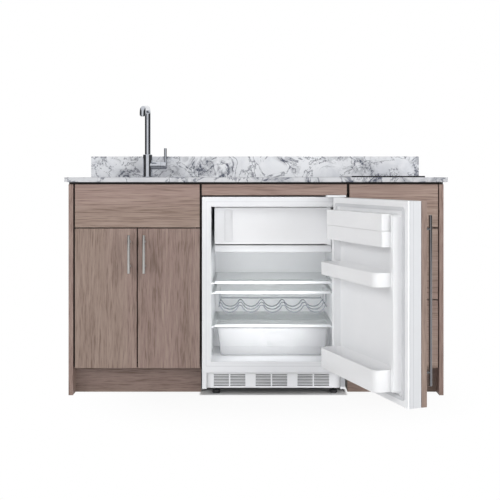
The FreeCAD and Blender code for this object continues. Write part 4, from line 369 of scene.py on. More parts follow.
grain_group, grain_in, grain_out = effect(
    "laminate_grain", (("Vector", "v", None), ("Band", "f", BAND_CELLS),
                       ("Fibre", "f", FIBRE_CELLS)),
    (("Tone", "f"), ("Pore", "f"), ("Drift", "f")))
grain_place = grain_in.outputs["Vector"]


def scaled_place(tree, place, factor):
    """A place multiplied by a factor from a socket."""
    made = node(tree, "ShaderNodeVectorMath")
    made.operation = "SCALE"
    tree.links.new(place, made.inputs[0])
    tree.links.new(factor, made.inputs["Scale"])
    return made.outputs[0]


band_place = scaled_place(grain_group, grain_place, grain_in.outputs["Band"])
fibre_place = scaled_place(grain_group, grain_place, grain_in.outputs["Fibre"])
bands = noise(grain_group, band_place, 1.0, 3.0, 0.5, 0.5)
streaks = noise(grain_group, band_place, 5.5, 3.0, 0.6, 0.1)
fibres = noise(grain_group, fibre_place, 1.0, 2.0, 0.6)
tone = weighted(grain_group, (bands, streaks, fibres), TONE_SHARES)
drift = noise(grain_group, band_place, 0.34)
for label, value, fade in (("Tone", tone, TONE_FADE), ("Drift", drift, DRIFT_FADE),
                           ("Pore", fibres, PORE_FADE)):
    grain_group.links.new(span(grain_group, value, *fade), grain_out.inputs[label])


def laminate(name, scale, shift, shade=1.0):
    """Wood-grain laminate; scale is small along the grain and one across it."""
    made, tree, shader = material(name, Specular_IOR_Level=0.32)
    grain = pattern(tree, grain_group, stretched(tree, scale, shift=shift), Band=BAND_CELLS,
                    Fibre=FIBRE_CELLS)
    low, mid, rosy, high = shaded((LAMINATE_DARK, LAMINATE_MID, LAMINATE_ROSY, LAMINATE_LIGHT),
                                  shade)
    middle = blend_colours(tree, grain["Drift"], mid, rosy)
    first = blend_colours(tree, span(tree, grain["Tone"], 0.0, 0.5), low, middle)
    both = blend_colours(tree, span(tree, grain["Tone"], 0.5, 1.0), first, high)
    pored = blend_colours(tree, maths(tree, "MULTIPLY", grain["Pore"], PORE_SHARE), both, low)
    coat(tree, shader, pored, span(tree, grain["Tone"], 0.0, 1.0, 0.58, 0.46),
         maths(tree, "SUBTRACT", 1.0, grain["Pore"]), PORE_DEPTH)
    return made


# Painted light and shade: the factors make lit and shaded copies of one laminate, lighter on the
# fixed and drawer fronts against the open door's shade, darker on the doors, end panels, plinth
# and appliance panel.
along = laminate("laminate_along", (0.6 * GRAIN_STRETCH, 1.0, 1.0), (0.3, 0.0, 0.7), 1.04)
upright = laminate("laminate_upright", (1.0, 1.0, GRAIN_STRETCH), (0.6, 0.2, 0.0), 0.93)
dress("sink_false_front cooktop_front bay_strip lower_drawer_front middle_drawer_front", along)
dress("left_sink_door right_sink_door", upright)
dress("end_panels", laminate("laminate_ends", (1.0, 1.0, GRAIN_STRETCH), (2.6, 0.9, 0.0), 0.97))
dress("toe_boards", laminate("laminate_plinth", (GRAIN_STRETCH, 1.0, 1.0), (5.1, 0.0, 3.3), 0.80))
dress("door_wood_panel", laminate("laminate_appliance", (1.0, 1.0, GRAIN_STRETCH), (4.2, 1.9, 0.0),
                                  0.84))

GAP_SHADE_PLANE = -0.572


def ahead(tree, level, soft=0.0006):
    """One in front of a plane of constant y, zero behind it."""
    return span(tree, split(tree, stretched(tree))[1], level - soft, level + soft, 1.0, 0.0)


core_board, core_tree, core_shader = material("carcass_board", Specular_IOR_Level=0.3)
chips = noise(core_tree, stretched(core_tree), 900.0, 2.0, 0.6)
pale_board = blend_colours(core_tree, span(core_tree, chips, 0.35, 0.65),
                           (0.56, 0.53, 0.48, 1), (0.64, 0.61, 0.56, 1))
# Painted shade: in front of a plane just behind the fronts the board turns near black, for the
# shade in the gaps between the fronts and under the slab.
coat(core_tree, core_shader,
     blend_colours(core_tree, ahead(core_tree, GAP_SHADE_PLANE), pale_board, (0.018, 0.014, 0.012, 1)),
     span(core_tree, chips, *NOISE_BAND, 0.50, 0.62))
dress("carcass_sides carcass_floors carcass_backs cross_rails sub_deck drawer_boxes", core_board)

# Pull bars: brushed stainless rods with softly turned ends on two thin posts each, screwed
# through the fronts. Two stand upright on the sink doors, two lie across the drawers.
MM = 0.001
ROUND = 40
RIGHT, BACK, FRONT, UP = (1, 0, 0), (0, 1, 0), (0, -1, 0), (0, 0, 1)
SHELL = (True, True, False)
SOLID = (False, True, True)


def piece(name, parts, surface, body, replaced="", crease=40.0):
    """One mesh from grids of points in millimetres. A part is (grid, loop_u, loop_v, capped):
    quads join neighbours of the grid, loops join its last row or column to the first, and a
    cap closes the first and last row with one face each. SHELL and SOLID are such flags."""
    corners, faces, begin = [], [], 0
    for grid, loop_u, loop_v, capped in parts:
        rows, columns = grid.shape[:2]
        index = np.arange(rows * columns).reshape(rows, columns) + begin
        down = index if loop_u else index[:-1]
        next_row = np.roll(index, -1, 0) if loop_u else index[1:]
        if loop_v:
            quads = (down, np.roll(down, -1, 1), np.roll(next_row, -1, 1), next_row)
        else:
            quads = (down[:, :-1], down[:, 1:], next_row[:, 1:], next_row[:, :-1])
        faces += np.stack([part.ravel() for part in quads], 1).tolist()
        if capped:
            faces += [index[0, ::-1].tolist(), index[-1].tolist()]
        corners.append(grid.reshape(-1, 3) * MM)
        begin += rows * columns
    mesh = bpy.data.meshes.new(name)
    mesh.from_pydata(np.concatenate(corners).tolist(), [], faces)
    mesh.shade_smooth()
    mesh.set_sharp_from_angle(angle=math.radians(crease))
    mesh.materials.append(surface)
    made = bpy.data.objects.new(name, mesh)
    bpy.context.scene.collection.objects.link(made)
    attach(made, body)
    if replaced:
        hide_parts(*replaced.split())
    return made


def turned(profile, start, axis, sides):
    """Surface of revolution: at each (distance, radius) of the profile a circle stands square
    to the axis, start + distance * axis + radius * (cos t * a + sin t * b)."""
    axis = np.array(axis, float)
    first = np.cross(axis, (0.0, 0.0, 1.0) if abs(axis[2]) < 0.9 else (1.0, 0.0, 0.0))
    first /= np.linalg.norm(first)
    second = np.cross(axis, first)
    angle = np.linspace(0.0, 2 * math.pi, sides, endpoint=False)
    circle = np.cos(angle)[:, None] * first + np.sin(angle)[:, None] * second
    distance, radius = np.array(profile, float).T
    return (np.array(start, float) + distance[:, None, None] * axis
            + radius[:, None, None] * circle[None])


def eased_rod(start, axis, length, radius, ease, sides=ROUND):
    """A rod whose two rims are rounded by a quarter circle of the ease."""
    quarter = np.linspace(0.0, math.pi / 2, 5)
    lift = ease * (1 - np.cos(quarter))
    inset = ease * (1 - np.sin(quarter))
    profile = [(a, radius - b) for a, b in zip(lift, inset)]
    profile += [(length - a, radius - b) for a, b in zip(lift[::-1], inset[::-1])]
    return turned(profile, start, axis, sides), *SOLID


brush_group, brush_in, brush_out = effect(
    "brushed_lines", (("Vector", "v", None), ("Lines", "f", 900.0)), (("Line", "f"),))
brush_place = scaled_place(brush_group, brush_in.outputs["Vector"], brush_in.outputs["Lines"])
brush_group.links.new(noise(brush_group, brush_place, 1.0, 3.0, 0.6), brush_out.inputs["Line"])


def metal(name, light, dark, rough, spread, scale=(1.0, 1.0, 1.0), lines=900.0, bump=0.00002):
    """Bare metal with lines of tone and roughness stretched by scale."""
    made, tree, shader = material(name, Metallic=1.0)
    line = pattern(tree, brush_group, stretched(tree, scale), Lines=lines)["Line"]
    coat(tree, shader, blend_colours(tree, span(tree, line, *NOISE_BAND), dark, light),
         span(tree, line, *NOISE_BAND, rough + spread, rough - spread), line, bump, 0.4)
    return made


STEEL = ((0.58, 0.575, 0.56, 1), (0.45, 0.445, 0.43, 1), 0.32, 0.06)
upright_steel = metal("upright_steel", *STEEL, (1.0, 1.0, 0.03))
along_steel = metal("along_steel", *STEEL, (0.03, 1.0, 1.0))
# Painted reflection: the door panel's bar is the same stainless made far darker, for the dark
# surroundings it mirrors.
shaded_panel_steel = metal("shaded_panel_steel", (0.24, 0.24, 0.25, 1), (0.18, 0.18, 0.19, 1), 0.22, 0.04,
                    (1.0, 1.0, 0.02))
BAR_RADIUS = 6.0
POST_RADIUS = 4.0
COLLAR_RADIUS = 5.2
COLLAR_HEIGHT = 1.6
BAR_EASE = 1.2


def pull_bar(foot, along, outward, length, spacing, standoff):
    """Bar and its two posts, each post with a thin collar where it meets the front."""
    foot, along, outward = (np.array(place, float) for place in (foot, along, outward))
    centre = foot + outward * standoff
    parts = [eased_rod(centre - along * length / 2, along, length, BAR_RADIUS, BAR_EASE)]
    for side in (-0.5, 0.5):
        base = foot + along * side * spacing
        profile = [(0.0, COLLAR_RADIUS), (COLLAR_HEIGHT * 0.7, COLLAR_RADIUS),
                   (COLLAR_HEIGHT, COLLAR_RADIUS - 0.5), (COLLAR_HEIGHT, POST_RADIUS),
                   (standoff - BAR_RADIUS / 2, POST_RADIUS)]
        parts.append((turned(profile, base, outward, 28), *SOLID))
    return parts


FRONT_Y = -613.0
DOOR_BAR_MIDDLE = 594.0
BAR_SIZES = (159.0, 102.0, 35.0)
for side, x in (("left", -529.7), ("right", -466.7)):
    piece(side + "_pull_bar",
          pull_bar((x, FRONT_Y, DOOR_BAR_MIDDLE), UP, FRONT, *BAR_SIZES),
          upright_steel, side + "_sink_door", side + "_door_handle")
DRAWER_BAR_X = 577.65
DRAWER_BAR_LEVELS = (337.0, 638.5)
DRAWER_BAR_SIZES = (192.0, 128.0, 35.0)
piece("drawer_pull_bars",
      [part for level in DRAWER_BAR_LEVELS
       for part in pull_bar((DRAWER_BAR_X, FRONT_Y, level), RIGHT, FRONT, *DRAWER_BAR_SIZES)],
      along_steel, "cabinetry", "drawer_handles")

zinc = metal("zinc", (0.52, 0.53, 0.55, 1), (0.40, 0.41, 0.43, 1), 0.38, 0.08, lines=260.0)
dress("hinge_arms drawer_runners left_door_hinges right_door_hinges", zinc)

# Sink: an undermount bowl pressed from brushed stainless steel with rounded corners, hung
# under the slab, with its waste, a lift-out strainer basket and a white plastic trap.
bowl_steel = metal("bowl_steel", (0.56, 0.56, 0.57, 1), (0.44, 0.44, 0.45, 1), 0.27, 0.05,
                   (0.04, 1.0, 1.0))
CORNER_STEPS = 9
SIDE_STEPS = 7


def corner_loop(x0, x1, y0, y1, radius, sides=0):
    """Rounded rectangle run anticlockwise: four quarter circles joined by straight sides,
    with more points on the sides where wanted."""
    radius = max(radius, 0.05)
    turn = np.linspace(0.0, math.pi / 2, CORNER_STEPS)
    arcs = [np.stack((cx + radius * np.cos(turn + start), cy + radius * np.sin(turn + start)), 1)
            for cx, cy, start in ((x1 - radius, y1 - radius, 0.0),
                                  (x0 + radius, y1 - radius, math.pi / 2),
                                  (x0 + radius, y0 + radius, math.pi),
                                  (x1 - radius, y0 + radius, 1.5 * math.pi))]
    share = np.linspace(0.0, 1.0, sides + 2)[1:-1, None]
    runs = [arc[-1] * (1 - share) + after[0] * share
            for arc, after in zip(arcs, arcs[1:] + arcs[:1])]
    return np.concatenate([part for pair in zip(arcs, runs) for part in pair])


def at_level(flat, level):
    """A flat outline's points at one height."""
    return np.column_stack((flat, np.full(len(flat), level)))


def stacked(x0, x1, y0, y1, steps, sides=0):
    """Rounded rectangles stacked along Z, one for each (inset, level, corner radius)."""
    return np.stack([at_level(corner_loop(x0 + inset, x1 - inset, y0 + inset, y1 - inset,
                                          radius, sides), level)
                     for inset, level, radius in steps])


BOWL = (-686.2, -316.2, -535.0, -195.0)
BOWL_FLOOR = 714.4
BOWL_RIM = 894.4
BOWL_WALL = 1.2
BOWL_FLANGE = 15.2
BOWL_CORNER = 45.0
FLANGE_CORNER = 58.0
FLOOR_CURVE = 22.0
WASTE = np.array((-501.2, -365.0, BOWL_FLOOR))
WASTE_HOLE = 43.2


def hole_loop(like, level):
    """The waste hole's circle, its points in the directions of another loop's points."""
    away = like[:, :2] - WASTE[:2]
    away *= WASTE_HOLE / np.linalg.norm(away, axis=1)[:, None]
    return at_level(WASTE[:2] + away, level)


curve = np.linspace(0.0, math.pi / 2, 7)
inside = [(FLOOR_CURVE * (1 - math.sin(t)), BOWL_FLOOR + FLOOR_CURVE * (1 - math.cos(t)),
           BOWL_CORNER - FLOOR_CURVE * 0.4 * (1 - math.sin(t))) for t in curve]
outside = [(inset - BOWL_WALL, level - BOWL_WALL * math.cos(t), radius)
           for (inset, level, radius), t in zip(inside, curve)]
bowl_steps = (inside + [(0.0, BOWL_RIM - 3.0, BOWL_CORNER), (-0.8, BOWL_RIM - 0.8, 45.5),
                        (-3.0, BOWL_RIM, 47.0), (-BOWL_FLANGE, BOWL_RIM, FLANGE_CORNER),
                        (-BOWL_FLANGE, BOWL_RIM - BOWL_WALL, FLANGE_CORNER),
                        (-BOWL_WALL, BOWL_RIM - BOWL_WALL - 1.0, BOWL_CORNER)] + outside[::-1])
bowl_grid = stacked(*BOWL, bowl_steps, SIDE_STEPS)
bowl_grid = np.concatenate((hole_loop(bowl_grid[0], BOWL_FLOOR)[None], bowl_grid,
                            hole_loop(bowl_grid[-1], BOWL_FLOOR - BOWL_WALL)[None]))
piece("pressed_bowl", [(bowl_grid, *SHELL)], bowl_steel, "cabinetry",
      "sink_bowl", 50.0)

DRAIN_PROFILE = [(-49.2, 18.0), (-49.2, 40.0), (-3.0, 40.0), (0.8, 42.5), (1.5, 46.0),
                 (1.3, 52.0), (0.6, 55.4), (0.05, 56.0), (0.05, 43.0), (-50.5, 43.0),
                 (-51.2, 42.3), (-51.2, 20.0), (-113.2, 20.0), (-113.2, 18.0)]
piece("drain_cup", [(turned(DRAIN_PROFILE, WASTE, UP, 56), *SHELL)],
      bowl_steel, "cabinetry", "drain_body", 35.0)
dress("strainer_basket", bowl_steel)

# Waste trap: white pipe down from the drain, round a U and back to the wall, with two ribbed
# union nuts that unscrew by hand.
PIPE_RADIUS = 20.0
PIPE_BORE = 18.0


def route(corners, bends, steps):
    """Points along a planar route whose corners are rounded by arcs of the bend radii, each
    with this many steps between its two tangent points about the centre of the bend."""
    corners = [np.array(corner, float) for corner in corners]
    points = [corners[0]]
    for before, corner, after, bend in zip(corners, corners[1:], corners[2:], bends):
        arrive = (corner - before) / np.linalg.norm(corner - before)
        leave = (after - corner) / np.linalg.norm(after - corner)
        half = math.acos(float(np.clip(arrive @ leave, -1, 1))) / 2
        centre = corner + (leave - arrive) / np.linalg.norm(leave - arrive) * bend / math.cos(half)
        start = corner - arrive * bend * math.tan(half) - centre
        turn = np.linspace(0.0, 2 * half, steps)[:, None]
        points += list(centre + np.cos(turn) * start + np.sin(turn) * arrive * bend)
    return np.array(points + [corners[-1]])


def carried(path, across, radius, sides):
    """A circle carried along a planar path: at each point it stands square to the path's
    direction, path + radius * (cos t * across + sin t * normal)."""
    path = np.asarray(path, float)
    along = np.gradient(path, axis=0)
    along /= np.linalg.norm(along, axis=1)[:, None]
    across = np.array(across, float)
    normal = np.cross(along, across)
    angle = np.linspace(0.0, 2 * math.pi, sides, endpoint=False)
    return (path[:, None] + radius * (np.cos(angle)[None, :, None] * across
                                      + np.sin(angle)[None, :, None] * normal[:, None]))


def hollow(path, across, outer, inner, sides=ROUND):
    """Tube wall: the outer skin forwards and the inner skin back, joined at both mouths."""
    return np.concatenate((carried(path, across, outer, sides),
                           carried(path, across, inner, sides)[::-1])), *SHELL


TAIL_END = 601.2
TRAP_DIP = 523.2
TRAP_BEND = 55.0
OUTLET_BEND = 48.0
TRAP_FAR = -255.0
OUTLET_LEVEL = 611.2
NUT = (24.0, 28.0, PIPE_RADIUS + 0.2)
trap_path = route([(WASTE[0], WASTE[1], TAIL_END), (WASTE[0], WASTE[1], TRAP_DIP - TRAP_BEND),
                   (WASTE[0], TRAP_FAR, TRAP_DIP - TRAP_BEND), (WASTE[0], TRAP_FAR, OUTLET_LEVEL),
                   (WASTE[0], 0.0, OUTLET_LEVEL)], (TRAP_BEND, TRAP_BEND, OUTLET_BEND), 14)


def ribbed_nut(centre, axis, height, radius, bore, ribs=18):
    """Union nut: its outer skin swells and sinks ribs times round, by 0.9 cos(ribs t)."""
    sides = ribs * 6
    ridge_height = 0.9 * np.cos(np.linspace(0.0, 2 * math.pi, sides, endpoint=False) * ribs)
    profile = [(-0.5, bore), (-0.5, 0.93 * radius), (-0.44, radius - 1.0), (0.30, radius - 1.0),
               (0.36, 0.9 * radius), (0.5, 0.88 * radius), (0.5, bore)]
    grid = turned([(share * height, reach) for share, reach in profile], centre, axis, sides)
    away = grid - np.array(centre, float)
    flat = away - (away @ np.array(axis, float))[..., None] * np.array(axis, float)
    flat /= np.linalg.norm(flat, axis=2)[..., None]
    grid[2:4] += flat[2:4] * ridge_height[None, :, None]
    return grid, *SHELL


SKIN_CELLS = 1400.0
mould_group, mould_in, mould_out = effect(
    "moulded_skin", (("Vector", "v", None), ("Grain", "f", SKIN_CELLS)),
    (("Drift", "f"), ("Skin", "f")))
mould_fine = scaled_place(mould_group, mould_in.outputs["Vector"], mould_in.outputs["Grain"])
mould_drift = noise(mould_group, mould_in.outputs["Vector"], 5.0, 3.0)
mould_group.links.new(span(mould_group, mould_drift, *NOISE_BAND), mould_out.inputs["Drift"])
mould_group.links.new(noise(mould_group, mould_fine, 1.0, 2.0, 0.6), mould_out.inputs["Skin"])


def moulded(name, light, dark, rough, bump=SKIN_DEPTH, marks=None, **sockets):
    """A plastic, paint or rubber whose tone drifts between two colours over a fine skin; marks
    takes the tree and that tone and gives the tone with marks on it."""
    made, tree, shader = material(name, **sockets)
    skin = pattern(tree, mould_group, stretched(tree), Grain=SKIN_CELLS)
    colour = blend_colours(tree, skin["Drift"], light, dark)
    coat(tree, shader, marks(tree, colour) if marks else colour,
         span(tree, skin["Skin"], *NOISE_BAND, rough - 0.04, rough + 0.04), skin["Skin"], bump)
    return made


pipe_plastic = moulded("pipe_plastic", (0.70, 0.70, 0.69, 1), (0.64, 0.64, 0.62, 1), 0.36)
piece("waste_trap",
      [hollow(trap_path, RIGHT, PIPE_RADIUS, PIPE_BORE),
       ribbed_nut((WASTE[0], WASTE[1], TAIL_END), UP, *NUT),
       ribbed_nut((WASTE[0], TRAP_FAR, TRAP_DIP), UP, *NUT)],
      pipe_plastic, "cabinetry", "p_trap")

# Faucet: polished chrome, a round body with a side arm, a square-shouldered spout that swings
# on it, and a slim lever rod that tilts and turns with the end of the arm.
bright_chrome = metal("bright_chrome", (0.57, 0.59, 0.635, 1), (0.51, 0.53, 0.575, 1), 0.075,
                      0.01, lines=60.0, bump=0.000002)
FAUCET_X, FAUCET_Y, DECK = -516.0, -90.0, 914.4
FAUCET = np.array((FAUCET_X, FAUCET_Y, DECK))
BODY_RADIUS = 22.5
BODY_TOP = 109.5
SOCKET_RADIUS = 13.75
SPOUT_RADIUS = 13.7
SPOUT_BORE = 11.7
ARM_LEVEL = 57.0
ARM_RADIUS = 18.5
ARM_REACH = 62.8

body_profile = [(0.0, 18.0), (0.0, 25.6), (0.6, 26.0), (3.6, 26.0), (4.6, 25.4), (5.0, 24.2),
                (5.2, BODY_RADIUS), (105.6, BODY_RADIUS), (107.8, 22.0), (109.0, 20.8),
                (BODY_TOP, 19.2), (BODY_TOP, 14.6), (108.9, SOCKET_RADIUS),
                (50.0, SOCKET_RADIUS), (50.0, 8.0), (0.0, 8.0)]
arm_profile = [(10.0, 4.0), (10.0, ARM_RADIUS), (ARM_REACH - 0.5, ARM_RADIUS),
               (ARM_REACH, ARM_RADIUS - 0.5), (ARM_REACH, 11.05), (48.4, 11.05), (48.4, 4.0)]
arm_start = FAUCET + (0.0, 0.0, ARM_LEVEL)
piece("faucet_column",
      [(turned(body_profile, FAUCET, UP, 64), *SHELL),
       (turned(arm_profile, arm_start, RIGHT, 56), *SHELL)],
      bright_chrome, "cabinetry", "faucet_body", 35.0)

dress("faucet_cap faucet_lever", bright_chrome)

FAUCET_HEIGHT = 344.7
SPOUT_START = 964.2
SPOUT_END = -286.3
SPOUT_SLOPE = 18.0
SPOUT_DROP = 48.0
SPOUT_BEND = 24.0
spout_top = DECK + FAUCET_HEIGHT - SPOUT_RADIUS
spout_tip = (FAUCET_X, SPOUT_END, spout_top - SPOUT_DROP)
spout_path = route([(FAUCET_X, FAUCET_Y, SPOUT_START), (FAUCET_X, FAUCET_Y, spout_top),
                    (FAUCET_X, SPOUT_END, spout_top - SPOUT_SLOPE), spout_tip],
                   (SPOUT_BEND, SPOUT_BEND), 16)
piece("faucet_spout_tube", [hollow(spout_path, RIGHT, SPOUT_RADIUS, SPOUT_BORE, 48)],
      bright_chrome, "faucet_spout", "faucet_spout", 35.0)
AERATOR_PROFILE = [(-4.0, 8.5), (-4.0, 10.1), (-3.5, 10.5), (8.0, 10.5), (8.0, 8.5), (5.0, 8.5),
                   (5.0, 0.6), (4.6, 0.6), (4.6, 8.5)]
piece("aerator_ring", [(turned(AERATOR_PROFILE, spout_tip, UP, 40), *SHELL)],
      bright_chrome, "faucet_spout", "aerator", 35.0)
dress("faucet_shank", zinc)

# Cooktop: a black ceramic glass plate with a polished edge, lapping the slab over a thin
# black enamelled casing; its two zones show as faint grey rings.
ZONES = ((0.562, -0.190, 0.072), (0.562, -0.440, 0.090))
RING_WIDTH = 0.0012
dark_glass, glass_tree, glass_shader = material("dark_glass", Specular_IOR_Level=0.4)
glass_place = stretched(glass_tree, (1.0, 1.0, 0.0))
rings = 0.0
for *zone_centre, zone_radius in ZONES:
    zone_far = vector_maths(glass_tree, "DISTANCE", glass_place, (*zone_centre, 0.0))
    zone_off = maths(glass_tree, "ABSOLUTE", maths(glass_tree, "SUBTRACT", zone_far, zone_radius))
    rings = maths(glass_tree, "MAXIMUM", rings,
                  span(glass_tree, zone_off, 0.6 * RING_WIDTH, RING_WIDTH, 1.0, 0.0))
glass_tone = noise(glass_tree, stretched(glass_tree), 900.0)
coat(glass_tree, glass_shader,
     blend_colours(glass_tree, rings, (0.012, 0.012, 0.014, 1), (0.16, 0.16, 0.165, 1)),
     span(glass_tree, glass_tone, *NOISE_BAND, 0.07, 0.11))
black_paint = moulded("black_paint", (0.016, 0.016, 0.017, 1), (0.024, 0.024, 0.025, 1), 0.42)
dress("cooktop_glass", dark_glass)
dress("cooktop_casing", black_paint)

# Deck end strips: lipping over both end panels, between them and the slab. It closes the ends
# of the deck board; its near black is painted shade, carrying the dark line under the slab out.
STRIP_X = ((-786.7, -771.8), (771.8, 786.7))
STRIP_Y = (-601.0, -6.0)
STRIP_LOW, STRIP_HIGH = 885.05, 894.35
strip_rings = [(0.4, STRIP_LOW, 0.4), (0.0, STRIP_LOW + 0.4, 0.8),
               (0.0, STRIP_HIGH - 0.4, 0.8), (0.4, STRIP_HIGH, 0.4)]
slab_shade_strip = moulded("slab_shade_strip", (0.020, 0.016, 0.014, 1), (0.030, 0.024, 0.021, 1), 0.6)
piece("deck_end_strips",
      [(stacked(*reach, *STRIP_Y, strip_rings), *SOLID) for reach in STRIP_X],
      slab_shade_strip, "cabinetry")

# Refrigerator cabinet: white enamelled steel over foam, near black as painted shade in the duct
# under its floor, with a moulded white liner whose front lip leaves a fine seam all round the
# opening.
white_plastic = moulded("white_plastic", (0.88, 0.885, 0.90, 1), (0.86, 0.87, 0.885, 1), 0.38)
liner_plastic = moulded("liner_plastic", (0.88, 0.89, 0.905, 1), (0.86, 0.87, 0.89, 1), 0.32)
# Painted shade: the ledge and shelf trims are the white plastic made darker, against the cabinet
# lamp's light on them.
shaded_trim_plastic = moulded("shaded_trim_plastic", (0.70, 0.71, 0.725, 1), (0.68, 0.69, 0.71, 1), 0.36)
black_plastic = moulded("black_plastic", (0.022, 0.022, 0.024, 1), (0.03, 0.03, 0.032, 1), 0.5)
rubber = moulded("rubber", (0.02, 0.02, 0.02, 1), (0.034, 0.034, 0.034, 1), 0.7)


def within(tree, place, low, high, soft=0.0004):
    """One inside a box of object coordinates, zero outside it, as a product of the six
    distances to its sides, each held between 0 and 1."""
    share = 1.0
    for part, least, most in zip(split(tree, place), low, high):
        for edge, sign in ((least, 1.0), (most, -1.0)):
            side = maths(tree, "MULTIPLY", maths(tree, "SUBTRACT", part, edge), sign / soft)
            side = maths(tree, "MAXIMUM", maths(tree, "MINIMUM", side, 1.0), 0.0)
            share = maths(tree, "MULTIPLY", share, side)
    return share


def outlined(tree, outer, inner):
    """One in an outer box, zero in the inner box and outside, which draws the line between."""
    place = stretched(tree)
    return maths(tree, "SUBTRACT", within(tree, place, *outer), within(tree, place, *inner))


SEAM_SHARE = 0.45
SEAM_OUTER = ((-0.2105, -0.62, 0.1215), (0.3565, -0.6, 0.8125))
SEAM_INNER = ((-0.2093, -0.63, 0.1227), (0.3553, -0.59, 0.8113))
DUCT_SHADE_BOX = ((-0.2265, -0.6125, 0.0), (0.3725, -0.0605, 0.096))


def cabinet_shade_and_seam(tree, enamel):
    """Painted shade, near black, in the duct under the floor, and the seam round the liner's lip.
    """
    plain = blend_colours(tree, within(tree, stretched(tree), *DUCT_SHADE_BOX), enamel,
                          (0.05, 0.05, 0.052, 1))
    seam = maths(tree, "MULTIPLY", outlined(tree, SEAM_OUTER, SEAM_INNER), SEAM_SHARE)
    return blend_colours(tree, seam, plain, (0.22, 0.23, 0.25, 1))


dress("fridge_cabinet", moulded("cabinet_white", (0.80, 0.81, 0.83, 1), (0.78, 0.79, 0.815, 1),
                                0.33, marks=cabinet_shade_and_seam))
dress("fridge_liner", liner_plastic)

# Feet and compressor: black levelling feet on threaded stems, and a sealed black pot with
# domed ends and a welded seam, on a foot plate that sits on four waisted rubber grommets.
FEET = [(x, y, 0.0) for x in (-168.0, 328.0) for y in (-562.5, -105.0)]
FOOT_PROFILE = [(0.0, 15.3), (0.6, 16.2), (1.4, 16.5), (12.2, 16.5), (13.4, 16.0), (14.0, 14.6),
                (14.0, 5.0), (27.0, 5.0)]
piece("levelling_feet", [(turned(FOOT_PROFILE, start, UP, 36), *SOLID) for start in FEET],
      black_plastic, "cabinetry", "fridge_feet")

POT = np.array((133.0, -140.0, 46.0))
POT_RADIUS = 62.0
POT_HEIGHT = 150.0
DOME = 31.0
WELD_RADIUS = 66.0
FOOT_PLATE = (84.0, 182.0, -189.0, -91.0)
GROMMETS = [(x, y, 31.0) for x in (93.0, 173.0) for y in (-180.0, -100.0)]
dome_turn = np.linspace(0.0, math.pi / 2, 11)
dome_reach = POT_RADIUS - DOME * (1 - np.cos(dome_turn))
dome_rise = DOME * (1 - np.sin(dome_turn))
pot_profile = list(zip(dome_rise[::-1], dome_reach[::-1]))
pot_profile += [(72.4, POT_RADIUS), (72.6, WELD_RADIUS - 0.8), (73.2, WELD_RADIUS),
                (76.8, WELD_RADIUS), (77.4, WELD_RADIUS - 0.8), (77.6, POT_RADIUS)]
pot_profile += list(zip(POT_HEIGHT - dome_rise, dome_reach))
plate_rings = [(0.4, -3.0, 8.6), (0.0, -2.6, 9.0), (0.0, -0.4, 9.0), (0.4, 0.0, 8.6)]
plate = stacked(*FOOT_PLATE, plate_rings)
plate[..., 2] += POT[2]
piece("compressor_pot", [(turned(pot_profile, POT, UP, 72), *SOLID), (plate, *SOLID)],
      black_paint, "cabinetry", "compressor")
GROMMET_PROFILE = [(0.0, 8.2), (0.8, 9.0), (4.2, 9.0), (5.2, 7.6), (6.8, 7.6), (7.8, 9.0),
                   (11.2, 9.0), (12.0, 8.2)]
piece("waisted_grommets",
      [(turned(GROMMET_PROFILE, start, UP, 32), *SOLID) for start in GROMMETS],
      rubber, "cabinetry", "compressor_grommets")

# Kick grille: white moulding between the cabinet's skirts, with three groups of fine slots,
# each parted in the middle; its front face is white and the slots behind are painted shade.
GRILLE_SHADE_PLANE = -0.6024
grille_plastic, grille_tree, grille_shader = material("grille_plastic", Roughness=0.45)
# Painted shade: behind the plate's front face, in the slots, the colour is near black.
coat(grille_tree, grille_shader,
     blend_colours(grille_tree, ahead(grille_tree, GRILLE_SHADE_PLANE), (0.10, 0.105, 0.12, 1),
                   (0.84, 0.85, 0.87, 1)),
     height=noise(grille_tree, stretched(grille_tree), 700.0))
dress("kick_grille", grille_plastic)

# Hinge brackets: zinc-plated steel at the door's foot, and under the worktop a bracket that a
# white moulded cover hides.
TOP_BRACKET = ((0.0, -1.0, 0.5), (1.0, 0.0, 1.0))
bracket_metal, bracket_tree, bracket_shader = material("bracket_metal")
covered = within(bracket_tree, stretched(bracket_tree), *TOP_BRACKET)
bracket_tone = noise(bracket_tree, stretched(bracket_tree), 260.0, 3.0)
bracket_zinc = blend_colours(bracket_tree, bracket_tone, (0.40, 0.41, 0.43, 1),
                             (0.52, 0.53, 0.55, 1))
coat(bracket_tree, bracket_shader,
     blend_colours(bracket_tree, covered, bracket_zinc, (0.78, 0.79, 0.81, 1)),
     span(bracket_tree, bracket_tone, *NOISE_BAND, 0.46, 0.34))
feed(bracket_tree, bracket_shader.inputs["Metallic"],
     maths(bracket_tree, "SUBTRACT", 1.0, covered))
dress("hinge_brackets", bracket_metal)

# Freezer compartment: a white box under the roof with a side-hinged flap, moulded with a
# finger grip at its free end, and the drip ledge under it.
dress("freezer_box thermostat_housing thermostat_dial", white_plastic)
# Painted shade: a grey line round the finger grip stands in for the shade in its recess.
GRIP_SHADE_OUTER = ((-0.1345, -0.5447, 0.635), (-0.0995, -0.536, 0.785))
GRIP_SHADE_INNER = ((-0.1325, -0.5447, 0.638), (-0.1015, -0.536, 0.782))
flap_plastic, flap_tree, flap_shader = material("flap_plastic", Roughness=0.36)
coat(flap_tree, flap_shader,
     blend_colours(flap_tree, outlined(flap_tree, GRIP_SHADE_OUTER, GRIP_SHADE_INNER),
                   (0.89, 0.895, 0.91, 1), (0.50, 0.51, 0.53, 1)),
     height=noise(flap_tree, stretched(flap_tree), SKIN_CELLS))
dress("freezer_flap", flap_plastic)
dress("drip_ledge", shaded_trim_plastic)

